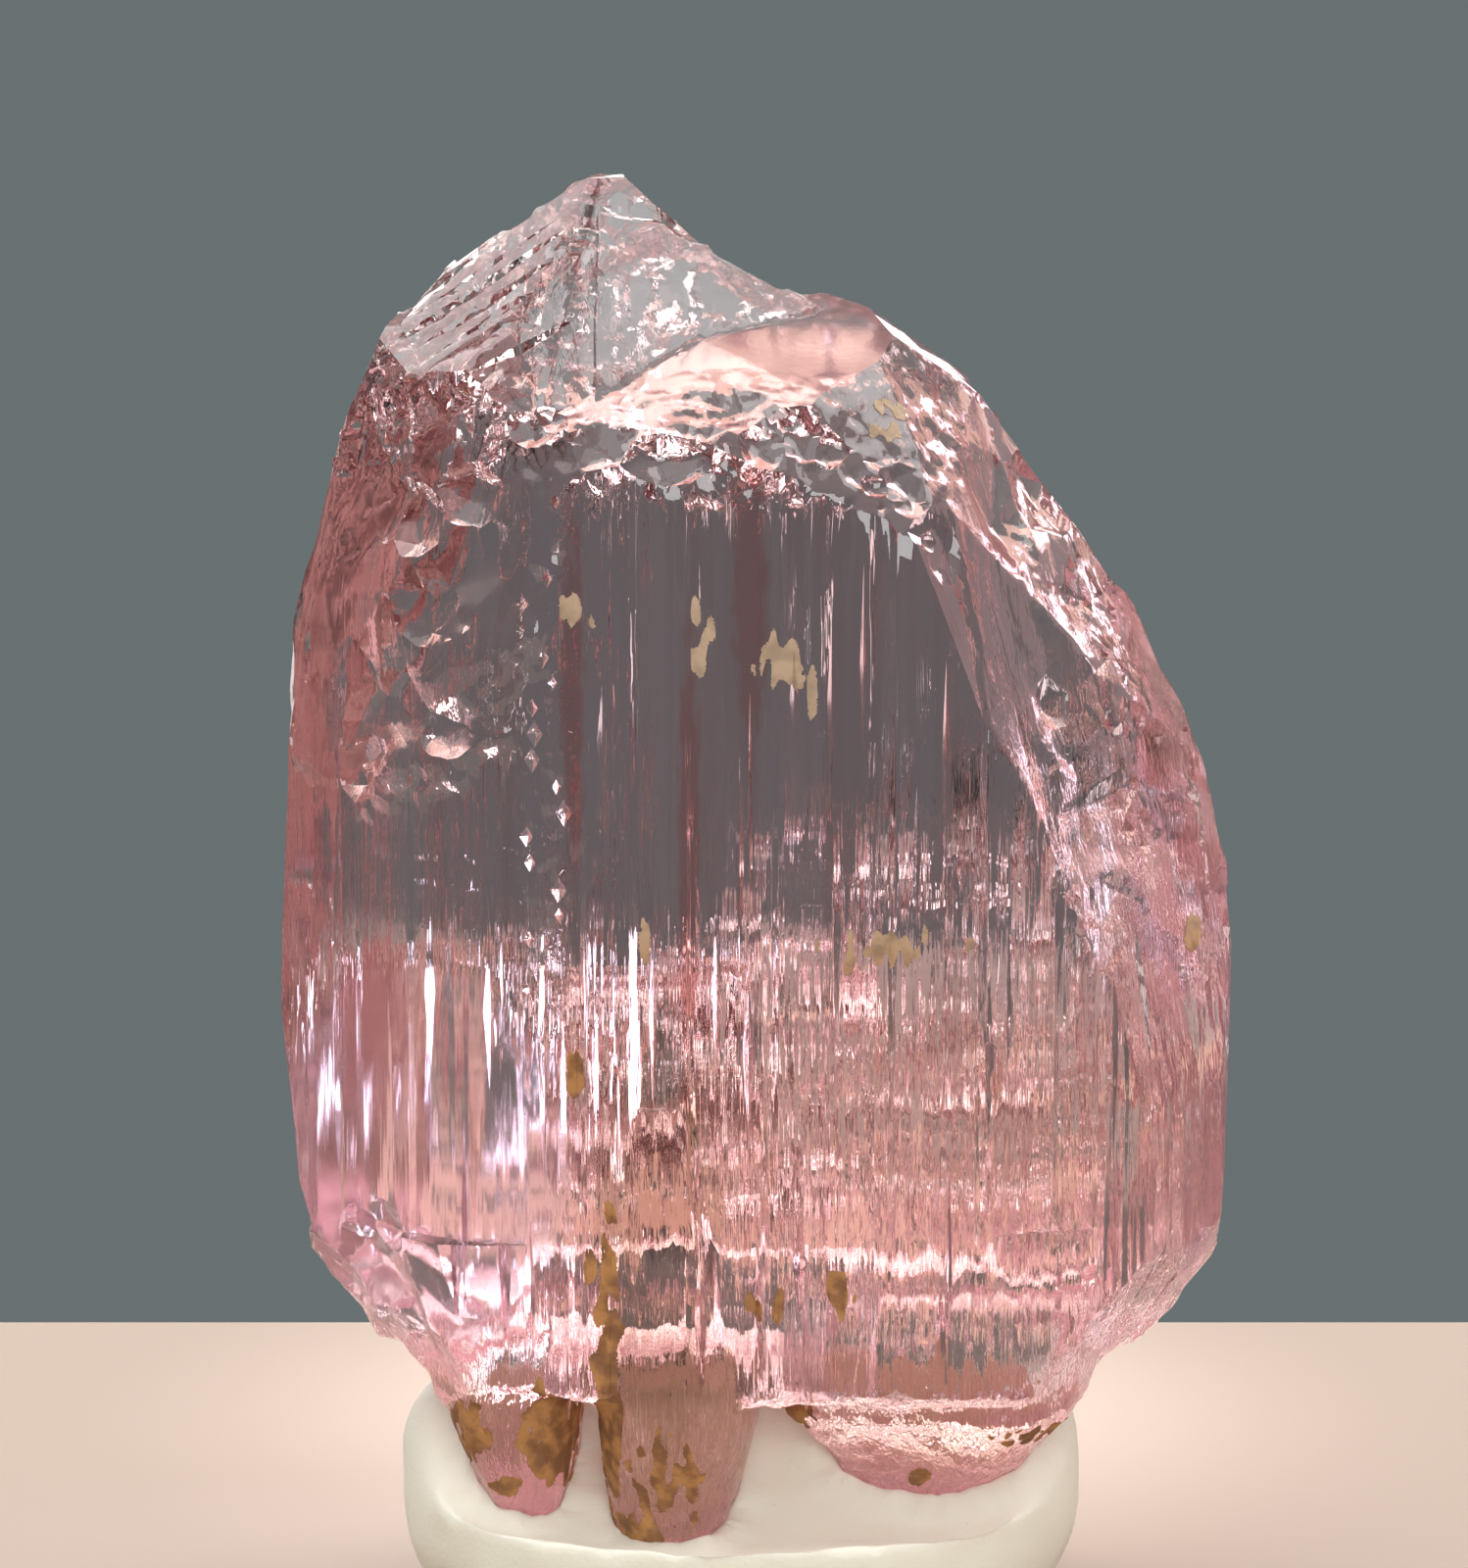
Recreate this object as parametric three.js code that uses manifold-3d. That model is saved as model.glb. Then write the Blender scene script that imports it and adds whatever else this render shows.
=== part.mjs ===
// A kunzite crystal, the pink gem variety of spodumene, standing in a lump of mounting putty.
//
// The crystal is one grown solid: a flattened striated prism with a pyramid and a broken slope
// on top, and root-like prongs etched out of its foot. The putty is a soft lump pressed round
// the prongs. Millimetres, +Z up, the striated front face looks towards -Y, and the origin is
// under the middle of the whole piece, on the surface that the putty stands on.

import * as THREE from 'three';
import { ConvexGeometry } from 'three/addons/geometries/ConvexGeometry.js';
import { mergeVertices } from 'three/addons/utils/BufferGeometryUtils.js';
import Module from 'manifold-3d';

const wasm = await Module();
wasm.setup();

// ---------------------------------------------------------------- driving dimensions

// Heights in the crystal's own frame start at the tip of the longest prong.
const CRYSTAL_HALF_WIDTH = 20.8;
const FRONT_DEPTH = 9.2;          // axis to the striated front face
const BACK_DEPTH = 8.8;           // axis to the back face, above the swollen foot
const PRISM_TOP = 62;
const BODY_FLOOR = 8.3;           // underside of the body, between the prongs
const FACE_CENTRE_HEIGHT = 30;    // crystal faces are measured from this point on the axis

const FLUTE_WIDTH = 1.25;         // one step of the striation
const FLUTE_DEPTH = 0.24;

const PUTTY_UNDER_TIP = 3.6;      // putty left below the longest prong
const PUTTY_HALF_WIDTH = 15.0;
const PUTTY_HALF_DEPTH = 13.2;
const PUTTY_TOP = 8.4;
const PUTTY_CENTRE = [-0.8, 1.4];
const SOCKET_GAP = 0.3;

// ---------------------------------------------------------------- small helpers

const { degToRad } = THREE.MathUtils;
const FACE_CENTRE = new THREE.Vector3(0, 0, FACE_CENTRE_HEIGHT);

function seededRandom(seed) {
  let state = seed;
  return () => {
    state = (state * 1664525 + 1013904223) >>> 0;
    return state / 4294967296;
  };
}

// A number between low and high.
const between = (random, low, high) => low + (high - low) * random();

function solidOf(geometry) {
  geometry.deleteAttribute('normal');
  geometry.deleteAttribute('uv');
  const merged = mergeVertices(geometry, 1e-5);
  return new wasm.Manifold(new wasm.Mesh({
    numProp: 3,
    vertProperties: new Float32Array(merged.attributes.position.array),
    triVerts: new Uint32Array(merged.index.array),
  }));
}

function geometryOf(solid) {
  const mesh = solid.getMesh();
  const geometry = new THREE.BufferGeometry();
  geometry.setAttribute('position', new THREE.BufferAttribute(mesh.vertProperties, 3));
  geometry.setIndex(new THREE.BufferAttribute(mesh.triVerts, 1));
  geometry.computeVertexNormals();
  return geometry;
}

// Azimuth turns from the front (0) to the right (90); rise tips the face up to the sky (90).
function faceNormal(azimuth, rise) {
  const turn = degToRad(azimuth);
  const tip = degToRad(rise);
  return new THREE.Vector3(
    Math.sin(turn) * Math.cos(tip),
    -Math.cos(turn) * Math.cos(tip),
    Math.sin(tip),
  );
}

function meetingPoint(a, b, c) {
  const bc = b.normal.clone().cross(c.normal);
  const volume = a.normal.dot(bc);
  if (Math.abs(volume) < 1e-4) {
    return null;
  }
  const ca = c.normal.clone().cross(a.normal);
  const ab = a.normal.clone().cross(b.normal);
  return bc.multiplyScalar(a.reach)
    .add(ca.multiplyScalar(b.reach))
    .add(ab.multiplyScalar(c.reach))
    .divideScalar(volume);
}

// The convex solid that a list of crystal faces closes in. Each face is
// [azimuth, rise, distance from the face centre], and grow moves them all outwards.
function facetedSolid(faces, grow = 0) {
  const planes = faces.map(([azimuth, rise, distance]) => {
    const normal = faceNormal(azimuth, rise);
    return { normal, reach: normal.dot(FACE_CENTRE) + distance + grow };
  });
  const corners = [];
  for (let i = 0; i < planes.length; i += 1) {
    for (let j = i + 1; j < planes.length; j += 1) {
      for (let k = j + 1; k < planes.length; k += 1) {
        const corner = meetingPoint(planes[i], planes[j], planes[k]);
        const inside = corner && planes.every((p) => p.normal.dot(corner) < p.reach + 1e-5);
        if (inside && corners.every((other) => other.distanceTo(corner) > 0.02)) {
          corners.push(corner);
        }
      }
    }
  }
  return solidOf(new ConvexGeometry(corners));
}

// ---------------------------------------------------------------- the striated prism

// The prism's outline from above, anticlockwise from the left end of the front face.
const OUTLINE = [
  [-7.5, -FRONT_DEPTH],
  [10, -FRONT_DEPTH],
  [16.6, -6.6],
  [20.2, -2.2],
  [CRYSTAL_HALF_WIDTH + 0.3, 1.4],
  [18.2, 5.6],
  [11, BACK_DEPTH],
  [-9, BACK_DEPTH],
  [-16.5, 6.6],
  [-20.4, 3.0],
  [-CRYSTAL_HALF_WIDTH - 0.3, -0.5],
  [-16, -5.5],
  [-12.7, -7.6],
];

// The swollen foot at the back has striated faces of its own, on a prism that leans outwards.
const FOOT_OUTLINE = [
  [-16, -10],
  [16, -10],
  [17, -5.6],
  [14.5, -2.6],
  [8, 0],
  [-9.5, 0],
  [-15, -2.2],
  [-17, -5.6],
];
const FOOT_LEAN = 15;
const FOOT_TOP = 25.5;            // where the foot's back face leaves the upright back face
const FOOT_SLANT = 7;             // tips the foot's upper edge aslant

// Walks round an outline in steps of uneven width, each set back a different depth, so that
// the long faces carry the stacked ribs of a striated crystal.
function flutedShape(outline, seed, grow) {
  const random = seededRandom(seed);
  const points = [];
  outline.forEach((corner, index) => {
    const start = new THREE.Vector2(...corner);
    const end = new THREE.Vector2(...outline[(index + 1) % outline.length]);
    const along = end.clone().sub(start);
    const length = along.length();
    along.normalize();
    const outwards = new THREE.Vector2(along.y, -along.x);
    let walked = 0;
    while (walked < length - 0.4) {
      const width = Math.min(between(random, 0.45, 1.7) * FLUTE_WIDTH, length - walked);
      const setBack = grow - FLUTE_DEPTH * random();
      const near = start.clone().addScaledVector(along, walked + 0.12 * width);
      const far = start.clone().addScaledVector(along, walked + 0.88 * width);
      points.push(near.addScaledVector(outwards, setBack));
      points.push(far.addScaledVector(outwards, setBack));
      walked += width;
    }
  });
  return new THREE.Shape(points);
}

function striatedPrism(grow) {
  const floor = BODY_FLOOR - grow;
  const settings = { depth: PRISM_TOP - floor, bevelEnabled: false };
  const prism = new THREE.ExtrudeGeometry(flutedShape(OUTLINE, 11, grow), settings);
  prism.translate(0, 0, floor);
  return solidOf(prism);
}

function leaningFoot(grow) {
  const settings = { depth: 50, bevelEnabled: false };
  const prism = new THREE.ExtrudeGeometry(flutedShape(FOOT_OUTLINE, 23, grow), settings);
  prism.translate(0, 0, -25);
  const foot = solidOf(prism).rotate([FOOT_LEAN, FOOT_SLANT, 0]).translate([0, BACK_DEPTH, FOOT_TOP]);
  return foot.intersect(facetedSolid(FOOT_FACES.concat(SIDE_STOPS), grow));
}

// ---------------------------------------------------------------- crystal faces

// Flanks: the faces that lean away from the upright prism all round.
const FLANK_FACES = [
  // left, from the top down
  [-88, 27.3, 25.0],
  [-95, 12.2, 22.2],
  [-86, 3.0, 20.7],
  [-96, -5.5, 21.2],
  [-84, -15.8, 23.2],
  [-92, -36.6, 25.5],
  [-84, -40.1, 25.9],
  // front left, where the upper corner is broken away
  [-54.3, 14.3, 19.3],
  [-52.2, 9.7, 17.7],
  [-29.2, 11.7, 15.0],
  [-60, -33, 23.6],
  // right, from the top down
  [92, 35.3, 19.7],
  [86, 20.6, 19.6],
  [95, 10.9, 19.8],
  [88, 5.0, 20.3],
  [93, -3.2, 21.1],
  [86, -5.6, 21.6],
  [90, -37.2, 26.2],
  // front right: the long slanting flank
  [60.6, 27.3, 16.8],
  [48.5, 12.1, 14.7],
  [46.6, 15.5, 14.7],
  [49.9, 8.8, 15.2],
  [58, -32, 23.4],
  // the chipped ledge over the front face
  [-6.2, 37.4, 19.2],
  [12, 24.4, 15.7],
  [34.7, 37.3, 18.5],
  [53.7, 35.2, 18.2],
  // back corners
  [128, 14, 16.2],
  [-132, 12, 16.6],
  [150, 38, 18.6],
  [-150, 36, 22.2],
  [0, 90, PRISM_TOP - FACE_CENTRE_HEIGHT],
  // the underside, rising to the back
  [180, -80, 20.2],
];

// Slope: the smooth pink slope right of the peak, and what falls away behind its ridge.
const SLOPE_FACES = [
  [-6.8, 59.5, 21.6],
  [3.8, 65.1, 22.2],
  [80, 77, 25.0],
  [80, 51.5, 22.0],
  [178, 52, 20.6],
  [125, 58, 22.9],
];

// Peak: the pyramid at the upper left.
const PEAK_FACES = [
  [-9.6, 44.2, 20.4],
  [17.1, 39.7, 16.2],
  [-36.1, 47.4, 23.9],
  [-62, 49.5, 27.0],
  [-90, 50.4, 28.9],
  [91.6, 48.2, 18.5],
  [-10, 84, 29.75],
  [180, 48, 24.4],
  [140, 47, 21.6],
  [-145, 45, 25.6],
];

// Crest: the low ridge that joins the peak to the slope.
const CREST_FACES = [
  [19.4, 39.7, 16.2],
  [94.4, 60.9, 22.7],
  [178, 50, 22.0],
  [-90, 0, 7],
];

// Foot: where the thicker lower back is cut off underneath and at its sides.
const FOOT_FACES = [
  [115, 0, 18.4],
  [-118, 0, 18.6],
  [176, -42, 22.7],
  [135, -38, 24.6],
  [-140, -36, 25.2],
  [0, 0, 0],
  [180, -80, 19.6],
];

const SIDE_STOPS = [
  [90, 0, 40],
  [-90, 0, 40],
  [0, 0, 40],
  [180, 0, 40],
  [0, 90, 40],
  [0, -90, 40],
];

// ---------------------------------------------------------------- prongs

// Each prong is a stack of flattened rings [x, y, half width, half depth, height], tip last.
const PRONGS = {
  left: [
    [-11.6, -2.2, 4.8, 6.4, 15],
    [-10.7, -2.9, 2.9, 4.7, 7.4],
    [-10.5, -3.1, 2.6, 3.8, 5.0],
    [-10.0, -3.4, 1.8, 2.8, 3.3],
    [-9.8, -3.8, 0.7, 1.2, 1.9],
  ],
  middle: [
    [-4.5, -6.6, 2.5, 2.6, 21],
    [-4.0, -5.4, 3.4, 4.3, 15],
    [-3.5, -4.9, 3.6, 4.9, 7.0],
    [-3.7, -4.7, 3.3, 4.3, 5.0],
    [-3.9, -4.8, 2.7, 3.3, 2.4],
    [-4.8, -5.0, 1.0, 1.4, 0.0],
  ],
  right: [
    [8.2, -1.2, 8.2, 7.9, 15.5],
    [7.6, -1.4, 6.9, 6.9, 7.4],
    [7.7, -1.0, 4.7, 4.8, 4.8],
    [7.2, -1.0, 2.6, 3.2, 3.0],
    [7.6, -1.2, 1.1, 1.6, 2.2],
  ],
  back: [
    [-1.5, 7.2, 6.4, 4.6, 12],
    [-1.9, 7.0, 4.8, 3.6, 7.0],
    [-2.2, 6.8, 3.0, 2.6, 4.6],
    [-2.3, 6.6, 1.2, 1.2, 3.0],
  ],
};
const RING_SIDES = 13;
const RING_SQUARENESS = 0.72;     // 1 is an ellipse, 0 a rectangle

const squared = (value) => Math.sign(value) * Math.pow(Math.abs(value), RING_SQUARENESS);

function prongSolid(rings, turn, grow = 0) {
  const corners = [];
  rings.forEach(([x, y, halfWidth, halfDepth, height], level) => {
    const isTip = level === rings.length - 1;
    for (let side = 0; side < RING_SIDES; side += 1) {
      const angle = ((side + 0.31 * level) / RING_SIDES) * 2 * Math.PI + turn;
      corners.push(new THREE.Vector3(
        x + (halfWidth + grow) * squared(Math.cos(angle)),
        y + (halfDepth + grow) * squared(Math.sin(angle)),
        height - (isTip ? grow : 0),
      ));
    }
  });
  return solidOf(new ConvexGeometry(corners));
}

// ---------------------------------------------------------------- the uncarved crystal

// grow swells the whole form evenly, which gives the socket that it leaves in the putty.
function roughCrystal(grow = 0) {
  const flanks = facetedSolid(FLANK_FACES.concat(SIDE_STOPS), grow);
  const slope = facetedSolid(SLOPE_FACES.concat(SIDE_STOPS), grow);
  const peak = facetedSolid(PEAK_FACES.concat(SIDE_STOPS), grow);
  const crest = facetedSolid(CREST_FACES.concat(SIDE_STOPS), grow);
  let crystal = striatedPrism(grow).add(leaningFoot(grow)).intersect(flanks);
  crystal = crystal.intersect(slope.add(peak).add(crest));
  Object.values(PRONGS).forEach((rings, index) => {
    crystal = crystal.add(prongSolid(rings, index, grow));
  });
  return crystal;
}

// ---------------------------------------------------------------- carving

const UPRIGHT = new THREE.Vector3(0, 0, 1);
const SCOOP = new THREE.IcosahedronGeometry(1, 1);
const SPINDLE = new THREE.OctahedronGeometry(1);

// How many of each mark the crystal carries.
const COUNTS = {
  ledgeChips: 30,
  upperLeftBreaks: 20,
  rightFlankBreaks: 10,
  rightFlankPits: 30,
  lowerFrontGrooves: 30,
  upperFrontGrooves: 10,
  stripPits: 20,
  peakSteps: 9,
  peakBackBreaks: 10,
  backGrooves: 22,
  backBreaks: 12,
  backCornerBreaks: 8,
  lowerLeftBreaks: 6,
  leftGrooves: 14,
  rightGrooves: 10,
};

// Breaks, pits and etched grooves are cut with small tools set on the uncarved surface.
class Carver {
  constructor(solid, seed) {
    this.mesh = new THREE.Mesh(geometryOf(solid));
    this.solid = solid;
    this.ray = new THREE.Raycaster();
    this.random = seededRandom(seed);
    this.tools = [];
  }

  // Where a line that comes in from the side given by azimuth and rise, through the point
  // [x, y, z], first meets the surface.
  surface([x, y, z], azimuth, rise) {
    const outwards = faceNormal(azimuth, rise);
    const start = new THREE.Vector3(x, y, z).addScaledVector(outwards, 80);
    this.ray.set(start, outwards.clone().negate());
    const [hit] = this.ray.intersectObject(this.mesh);
    return hit;
  }

  // Sets a tool with its own Z along the face normal and its own Y along grain.
  place(geometry, hit, size, sink, grain) {
    const out = hit.face.normal.clone();
    const across = grain.clone().cross(out).normalize();
    const along = out.clone().cross(across);
    const tool = geometry.clone().scale(...size);
    tool.applyMatrix4(new THREE.Matrix4().makeBasis(across, along, out));
    tool.translate(...hit.point.clone().addScaledVector(out, size[2] - sink).toArray());
    this.tools.push(solidOf(tool));
  }

  // A shell-shaped break, about as wide as width and sunk to depth at its middle.
  scoop(at, azimuth, rise, width, depth) {
    const hit = this.surface(at, azimuth, rise);
    if (!hit) {
      return;
    }
    const radius = (width * width) / (8 * depth);
    const size = [
      radius * between(this.random, 0.7, 1.2),
      radius * between(this.random, 0.7, 1.2),
      radius * between(this.random, 0.7, 1.0),
    ];
    const grain = new THREE.Vector3(this.random() - 0.5, this.random() - 0.5, 1).normalize();
    const ball = SCOOP.clone().rotateX(7 * this.random()).rotateY(7 * this.random());
    this.place(ball, hit, size, depth, grain);
  }

  // A sharp groove or pit, as long as length along grain.
  groove(at, azimuth, rise, [width, length, depth], grain = UPRIGHT) {
    const hit = this.surface(at, azimuth, rise);
    if (hit) {
      this.place(SPINDLE, hit, [width / 2, length / 2, depth], depth, grain);
    }
  }

  cut() {
    return this.solid.subtract(wasm.Manifold.union(this.tools));
  }
}

// The chipped ledge between the smooth slope and the striated front face, left to right.
const LEDGE_LINE = new THREE.CatmullRomCurve3([
  new THREE.Vector3(-9.6, -8, 49.6),
  new THREE.Vector3(-6.2, -8, 49.2),
  new THREE.Vector3(-1.0, -8, 50.2),
  new THREE.Vector3(2.6, -8, 49.4),
  new THREE.Vector3(5.2, -8, 47.2),
  new THREE.Vector3(8.0, -8, 45.4),
]);

function chipLedge(carver) {
  const { random } = carver;
  for (let i = 0; i < COUNTS.ledgeChips; i += 1) {
    const at = LEDGE_LINE.getPoint((i + random() * 0.7) / COUNTS.ledgeChips);
    at.z += between(random, -1.1, 0.9);
    carver.scoop(at.toArray(), 4, 30, between(random, 1.5, 3.6), between(random, 0.25, 0.55));
  }
}

function breakUpperLeft(carver) {
  const { random } = carver;
  for (let i = 0; i < COUNTS.upperLeftBreaks; i += 1) {
    const height = between(random, 34, 51);
    const at = [between(random, -19.5, -10), -6, height];
    carver.scoop(at, -42, 10, between(random, 3.5, 7.5), between(random, 0.3, 0.8));
  }
}

function pitRightFlank(carver) {
  const { random } = carver;
  for (let i = 0; i < COUNTS.rightFlankBreaks; i += 1) {
    const height = 27 + 2.1 * i;
    const at = [between(random, 12, 17) - 0.2 * i, between(random, -6, -3), height];
    carver.scoop(at, 52, 16, between(random, 3, 6), between(random, 0.25, 0.5));
  }
  for (let i = 0; i < COUNTS.rightFlankPits; i += 1) {
    const height = between(random, 31, 44);
    const at = [17 - 0.4 * (height - 32), between(random, -5, 3), height];
    const width = between(random, 0.6, 1.2);
    carver.groove(at, 60, 18, [width, width * 1.3, 0.3]);
  }
}

// The dip below the right shoulder, where the slope's ridge ends.
function dipShoulder(carver) {
  carver.scoop([12.2, 0, 46.6], 80, 30, 6.5, 0.75);
  carver.scoop([11.6, -4.5, 47.2], 62, 28, 5.5, 0.6);
  carver.scoop([11.9, 4.4, 46.9], 108, 28, 5.5, 0.6);
}

// Long etched grooves on the lower front, closer together towards the foot.
function etchFront(carver) {
  const { random } = carver;
  for (let i = 0; i < COUNTS.lowerFrontGrooves; i += 1) {
    const at = [between(random, -17, 17), -9, between(random, 9, 27)];
    const length = between(random, 4, 13);
    carver.groove(at, 0, 0, [between(random, 0.25, 0.6), length, between(random, 0.16, 0.4)]);
  }
  for (let i = 0; i < COUNTS.upperFrontGrooves; i += 1) {
    const at = [between(random, -9, 9), -9, between(random, 30, 44)];
    carver.groove(at, 0, 0, [between(random, 0.2, 0.4), between(random, 4, 10), 0.18]);
  }
}

// The rough strip that runs down the front, left of the broad face.
function roughenStrip(carver) {
  const { random } = carver;
  for (let i = 0; i < COUNTS.stripPits; i += 1) {
    const at = [between(random, -10.2, -8.2), -9, 26 + 1.1 * i];
    const width = between(random, 0.35, 0.8);
    carver.groove(at, -8, 0, [width, width * 1.6, 0.25]);
  }
}

// Narrow stepped ribs that run from the peak down its left side.
function stepPeak(carver) {
  const { random } = carver;
  const grain = new THREE.Vector3(-8.7, -1.2, -7.2).normalize();
  for (let i = 0; i < COUNTS.peakSteps; i += 1) {
    const at = [between(random, -13.6, -11.2), 3.4 - 1.1 * i, 56];
    carver.groove(at, -60, 60, [between(random, 0.5, 0.9), between(random, 8, 12), 0.34], grain);
  }
}

// Flat breaks behind the peak, which show through it as bright and dark panes.
function breakPeakBack(carver) {
  const { random } = carver;
  for (let i = 0; i < COUNTS.peakBackBreaks; i += 1) {
    const at = [between(random, -11, -1), 3, between(random, 52, 60)];
    const side = between(random, 140, 225);
    carver.scoop(at, side, 46, between(random, 2.5, 5.5), between(random, 0.3, 0.7));
  }
}

// Shell-shaped etching where the lower left corner narrows to the prongs.
function breakLowerLeft(carver) {
  const { random } = carver;
  for (let i = 0; i < COUNTS.lowerLeftBreaks; i += 1) {
    const at = [between(random, -18.5, -13), -5, between(random, 9.5, 16)];
    carver.scoop(at, -55, -30, between(random, 3, 6), between(random, 0.3, 0.6));
  }
}

function carveBack(carver) {
  const { random } = carver;
  for (let i = 0; i < COUNTS.backGrooves; i += 1) {
    const at = [between(random, -16, 16), 9, between(random, 12, 44)];
    const length = between(random, 4, 12);
    carver.groove(at, 180, 2, [between(random, 0.25, 0.7), length, between(random, 0.18, 0.4)]);
  }
  for (let i = 0; i < COUNTS.backBreaks; i += 1) {
    const at = [between(random, -14, 9), 8, between(random, 46, 54)];
    carver.scoop(at, 180, 40, between(random, 3, 6.5), between(random, 0.3, 0.7));
  }
  for (let i = 0; i < COUNTS.backCornerBreaks; i += 1) {
    const side = i % 2 === 0 ? 1 : -1;
    const at = [side * 15, 5, between(random, 14, 44)];
    carver.scoop(at, side * 130, 8, between(random, 3.5, 6.5), between(random, 0.3, 0.6));
  }
}

function etchSides(carver) {
  const { random } = carver;
  for (let i = 0; i < COUNTS.leftGrooves; i += 1) {
    const at = [-18, between(random, -4, 5), between(random, 16, 44)];
    carver.groove(at, -82, 2, [between(random, 0.3, 0.7), between(random, 2, 7), 0.28]);
  }
  for (let i = 0; i < COUNTS.rightGrooves; i += 1) {
    const at = [18, between(random, -3, 5), between(random, 13, 36)];
    carver.groove(at, 84, 4, [between(random, 0.3, 0.6), between(random, 2, 7), 0.24]);
  }
}

function carvedCrystal() {
  const carver = new Carver(roughCrystal(), 29);
  chipLedge(carver);
  breakUpperLeft(carver);
  pitRightFlank(carver);
  dipShoulder(carver);
  etchFront(carver);
  roughenStrip(carver);
  stepPeak(carver);
  carveBack(carver);
  etchSides(carver);
  breakPeakBack(carver);
  breakLowerLeft(carver);
  return carver.cut();
}

// ---------------------------------------------------------------- the putty

const PUTTY_GIRTH_HEIGHT = 2.6;   // where the lump is widest
const PUTTY_SQUARENESS = 0.62;    // 1 is an ellipsoid, 0 a box: the lump is a full cushion
const PUTTY_FRONT_TOP = 1.4;      // the front is pressed low, below the prongs

// Height of the lump's top: full behind the prongs, pressed down in front of them.
function puttyTop(y) {
  const blend = THREE.MathUtils.smoothstep(y, -9, 0.5);
  return PUTTY_FRONT_TOP + (PUTTY_TOP - PUTTY_FRONT_TOP) * blend;
}

function puttyLump() {
  const geometry = new THREE.SphereGeometry(1, 32, 16);
  geometry.rotateX(Math.PI / 2);
  const position = geometry.attributes.position;
  const point = new THREE.Vector3();
  for (let i = 0; i < position.count; i += 1) {
    point.fromBufferAttribute(position, i);
    const around = Math.atan2(point.y, point.x);
    const swell = 1 + 0.02 * Math.sin(2 * around + 0.7) + 0.015 * Math.sin(5 * around);
    const radius = Math.hypot(point.x, point.y);
    const fullness = Math.pow(Math.max(radius, 1e-6), PUTTY_SQUARENESS - 1) * swell;
    const y = point.y * fullness * PUTTY_HALF_DEPTH;
    const up = puttyTop(y) - PUTTY_GIRTH_HEIGHT;
    const down = PUTTY_GIRTH_HEIGHT + PUTTY_UNDER_TIP + 1.4;
    const x = point.x * fullness * PUTTY_HALF_WIDTH;
    const z = Math.pow(Math.abs(point.z), PUTTY_SQUARENESS) * (point.z > 0 ? up : -down);
    position.setXYZ(i, x, y, z);
  }
  geometry.translate(PUTTY_CENTRE[0], PUTTY_CENTRE[1], PUTTY_GIRTH_HEIGHT);
  return solidOf(geometry);
}

function flatUnderside() {
  const block = new THREE.BoxGeometry(60, 60, 20);
  block.translate(0, 0, -PUTTY_UNDER_TIP - 10);
  return solidOf(block);
}

function seatedPutty() {
  return puttyLump().subtract(flatUnderside()).subtract(roughCrystal(SOCKET_GAP));
}

// ---------------------------------------------------------------- the group

function pieceMesh(name, solid, finish) {
  const mesh = new THREE.Mesh(geometryOf(solid), new THREE.MeshStandardMaterial(finish));
  mesh.name = name;
  return mesh;
}

const specimen = new THREE.Group();
specimen.add(pieceMesh('crystal', carvedCrystal(), {
  color: '#d9a9b4', roughness: 0.12, metalness: 0, transparent: true, opacity: 0.6,
}));
specimen.add(pieceMesh('putty_base', seatedPutty(), {
  color: '#eeeede', roughness: 0.7, metalness: 0,
}));

const extent = new THREE.Box3().setFromObject(specimen);
const middle = extent.getCenter(new THREE.Vector3());
specimen.position.set(-middle.x, -middle.y, PUTTY_UNDER_TIP);

const group = new THREE.Group();
group.add(specimen);

export default group;
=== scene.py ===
# %% [markdown]
# # A kunzite crystal in mounting putty
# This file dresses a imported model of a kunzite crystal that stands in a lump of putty. Kunzite is
# pink spodumene: a clear stone with stacked upright ribs on its long faces, a broken top, and
# prongs at its foot where it was etched in the rock. Each cell below makes one thing and prints
# what it made.

import math

import bmesh
import bpy
import numpy as np
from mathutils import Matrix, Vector, noise
from mathutils.bvhtree import BVHTree


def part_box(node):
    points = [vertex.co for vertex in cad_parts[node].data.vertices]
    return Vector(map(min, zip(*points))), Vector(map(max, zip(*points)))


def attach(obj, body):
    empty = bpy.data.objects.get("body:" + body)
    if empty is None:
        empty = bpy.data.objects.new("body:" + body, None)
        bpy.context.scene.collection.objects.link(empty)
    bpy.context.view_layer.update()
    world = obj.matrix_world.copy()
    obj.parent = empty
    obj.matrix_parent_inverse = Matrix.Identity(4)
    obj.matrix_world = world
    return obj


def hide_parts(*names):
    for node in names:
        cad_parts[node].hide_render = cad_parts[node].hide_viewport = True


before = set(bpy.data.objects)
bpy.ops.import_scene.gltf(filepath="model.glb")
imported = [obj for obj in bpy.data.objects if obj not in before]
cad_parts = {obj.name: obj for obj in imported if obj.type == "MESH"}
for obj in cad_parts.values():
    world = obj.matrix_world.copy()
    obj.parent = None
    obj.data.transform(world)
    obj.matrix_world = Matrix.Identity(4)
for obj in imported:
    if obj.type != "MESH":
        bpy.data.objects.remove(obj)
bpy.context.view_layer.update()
print("nodes:", sorted(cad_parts))

# %% Sizes that everything else is worked out from
MM = 0.001
CRYSTAL_LOW, CRYSTAL_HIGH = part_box("crystal")
TIP = CRYSTAL_LOW.z
CRYSTAL_HEIGHT = CRYSTAL_HIGH.z - CRYSTAL_LOW.z
print(f"crystal {CRYSTAL_HEIGHT / MM:.1f} mm tall, its longest prong {TIP / MM:.1f} mm up")

# %% [markdown]
# ## The camera
# A small thing is best seen from some way off through a long lens, which doesn't distort it. The
# camera looks down a little, so the far edge of the slab shows behind the crystal.

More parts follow.
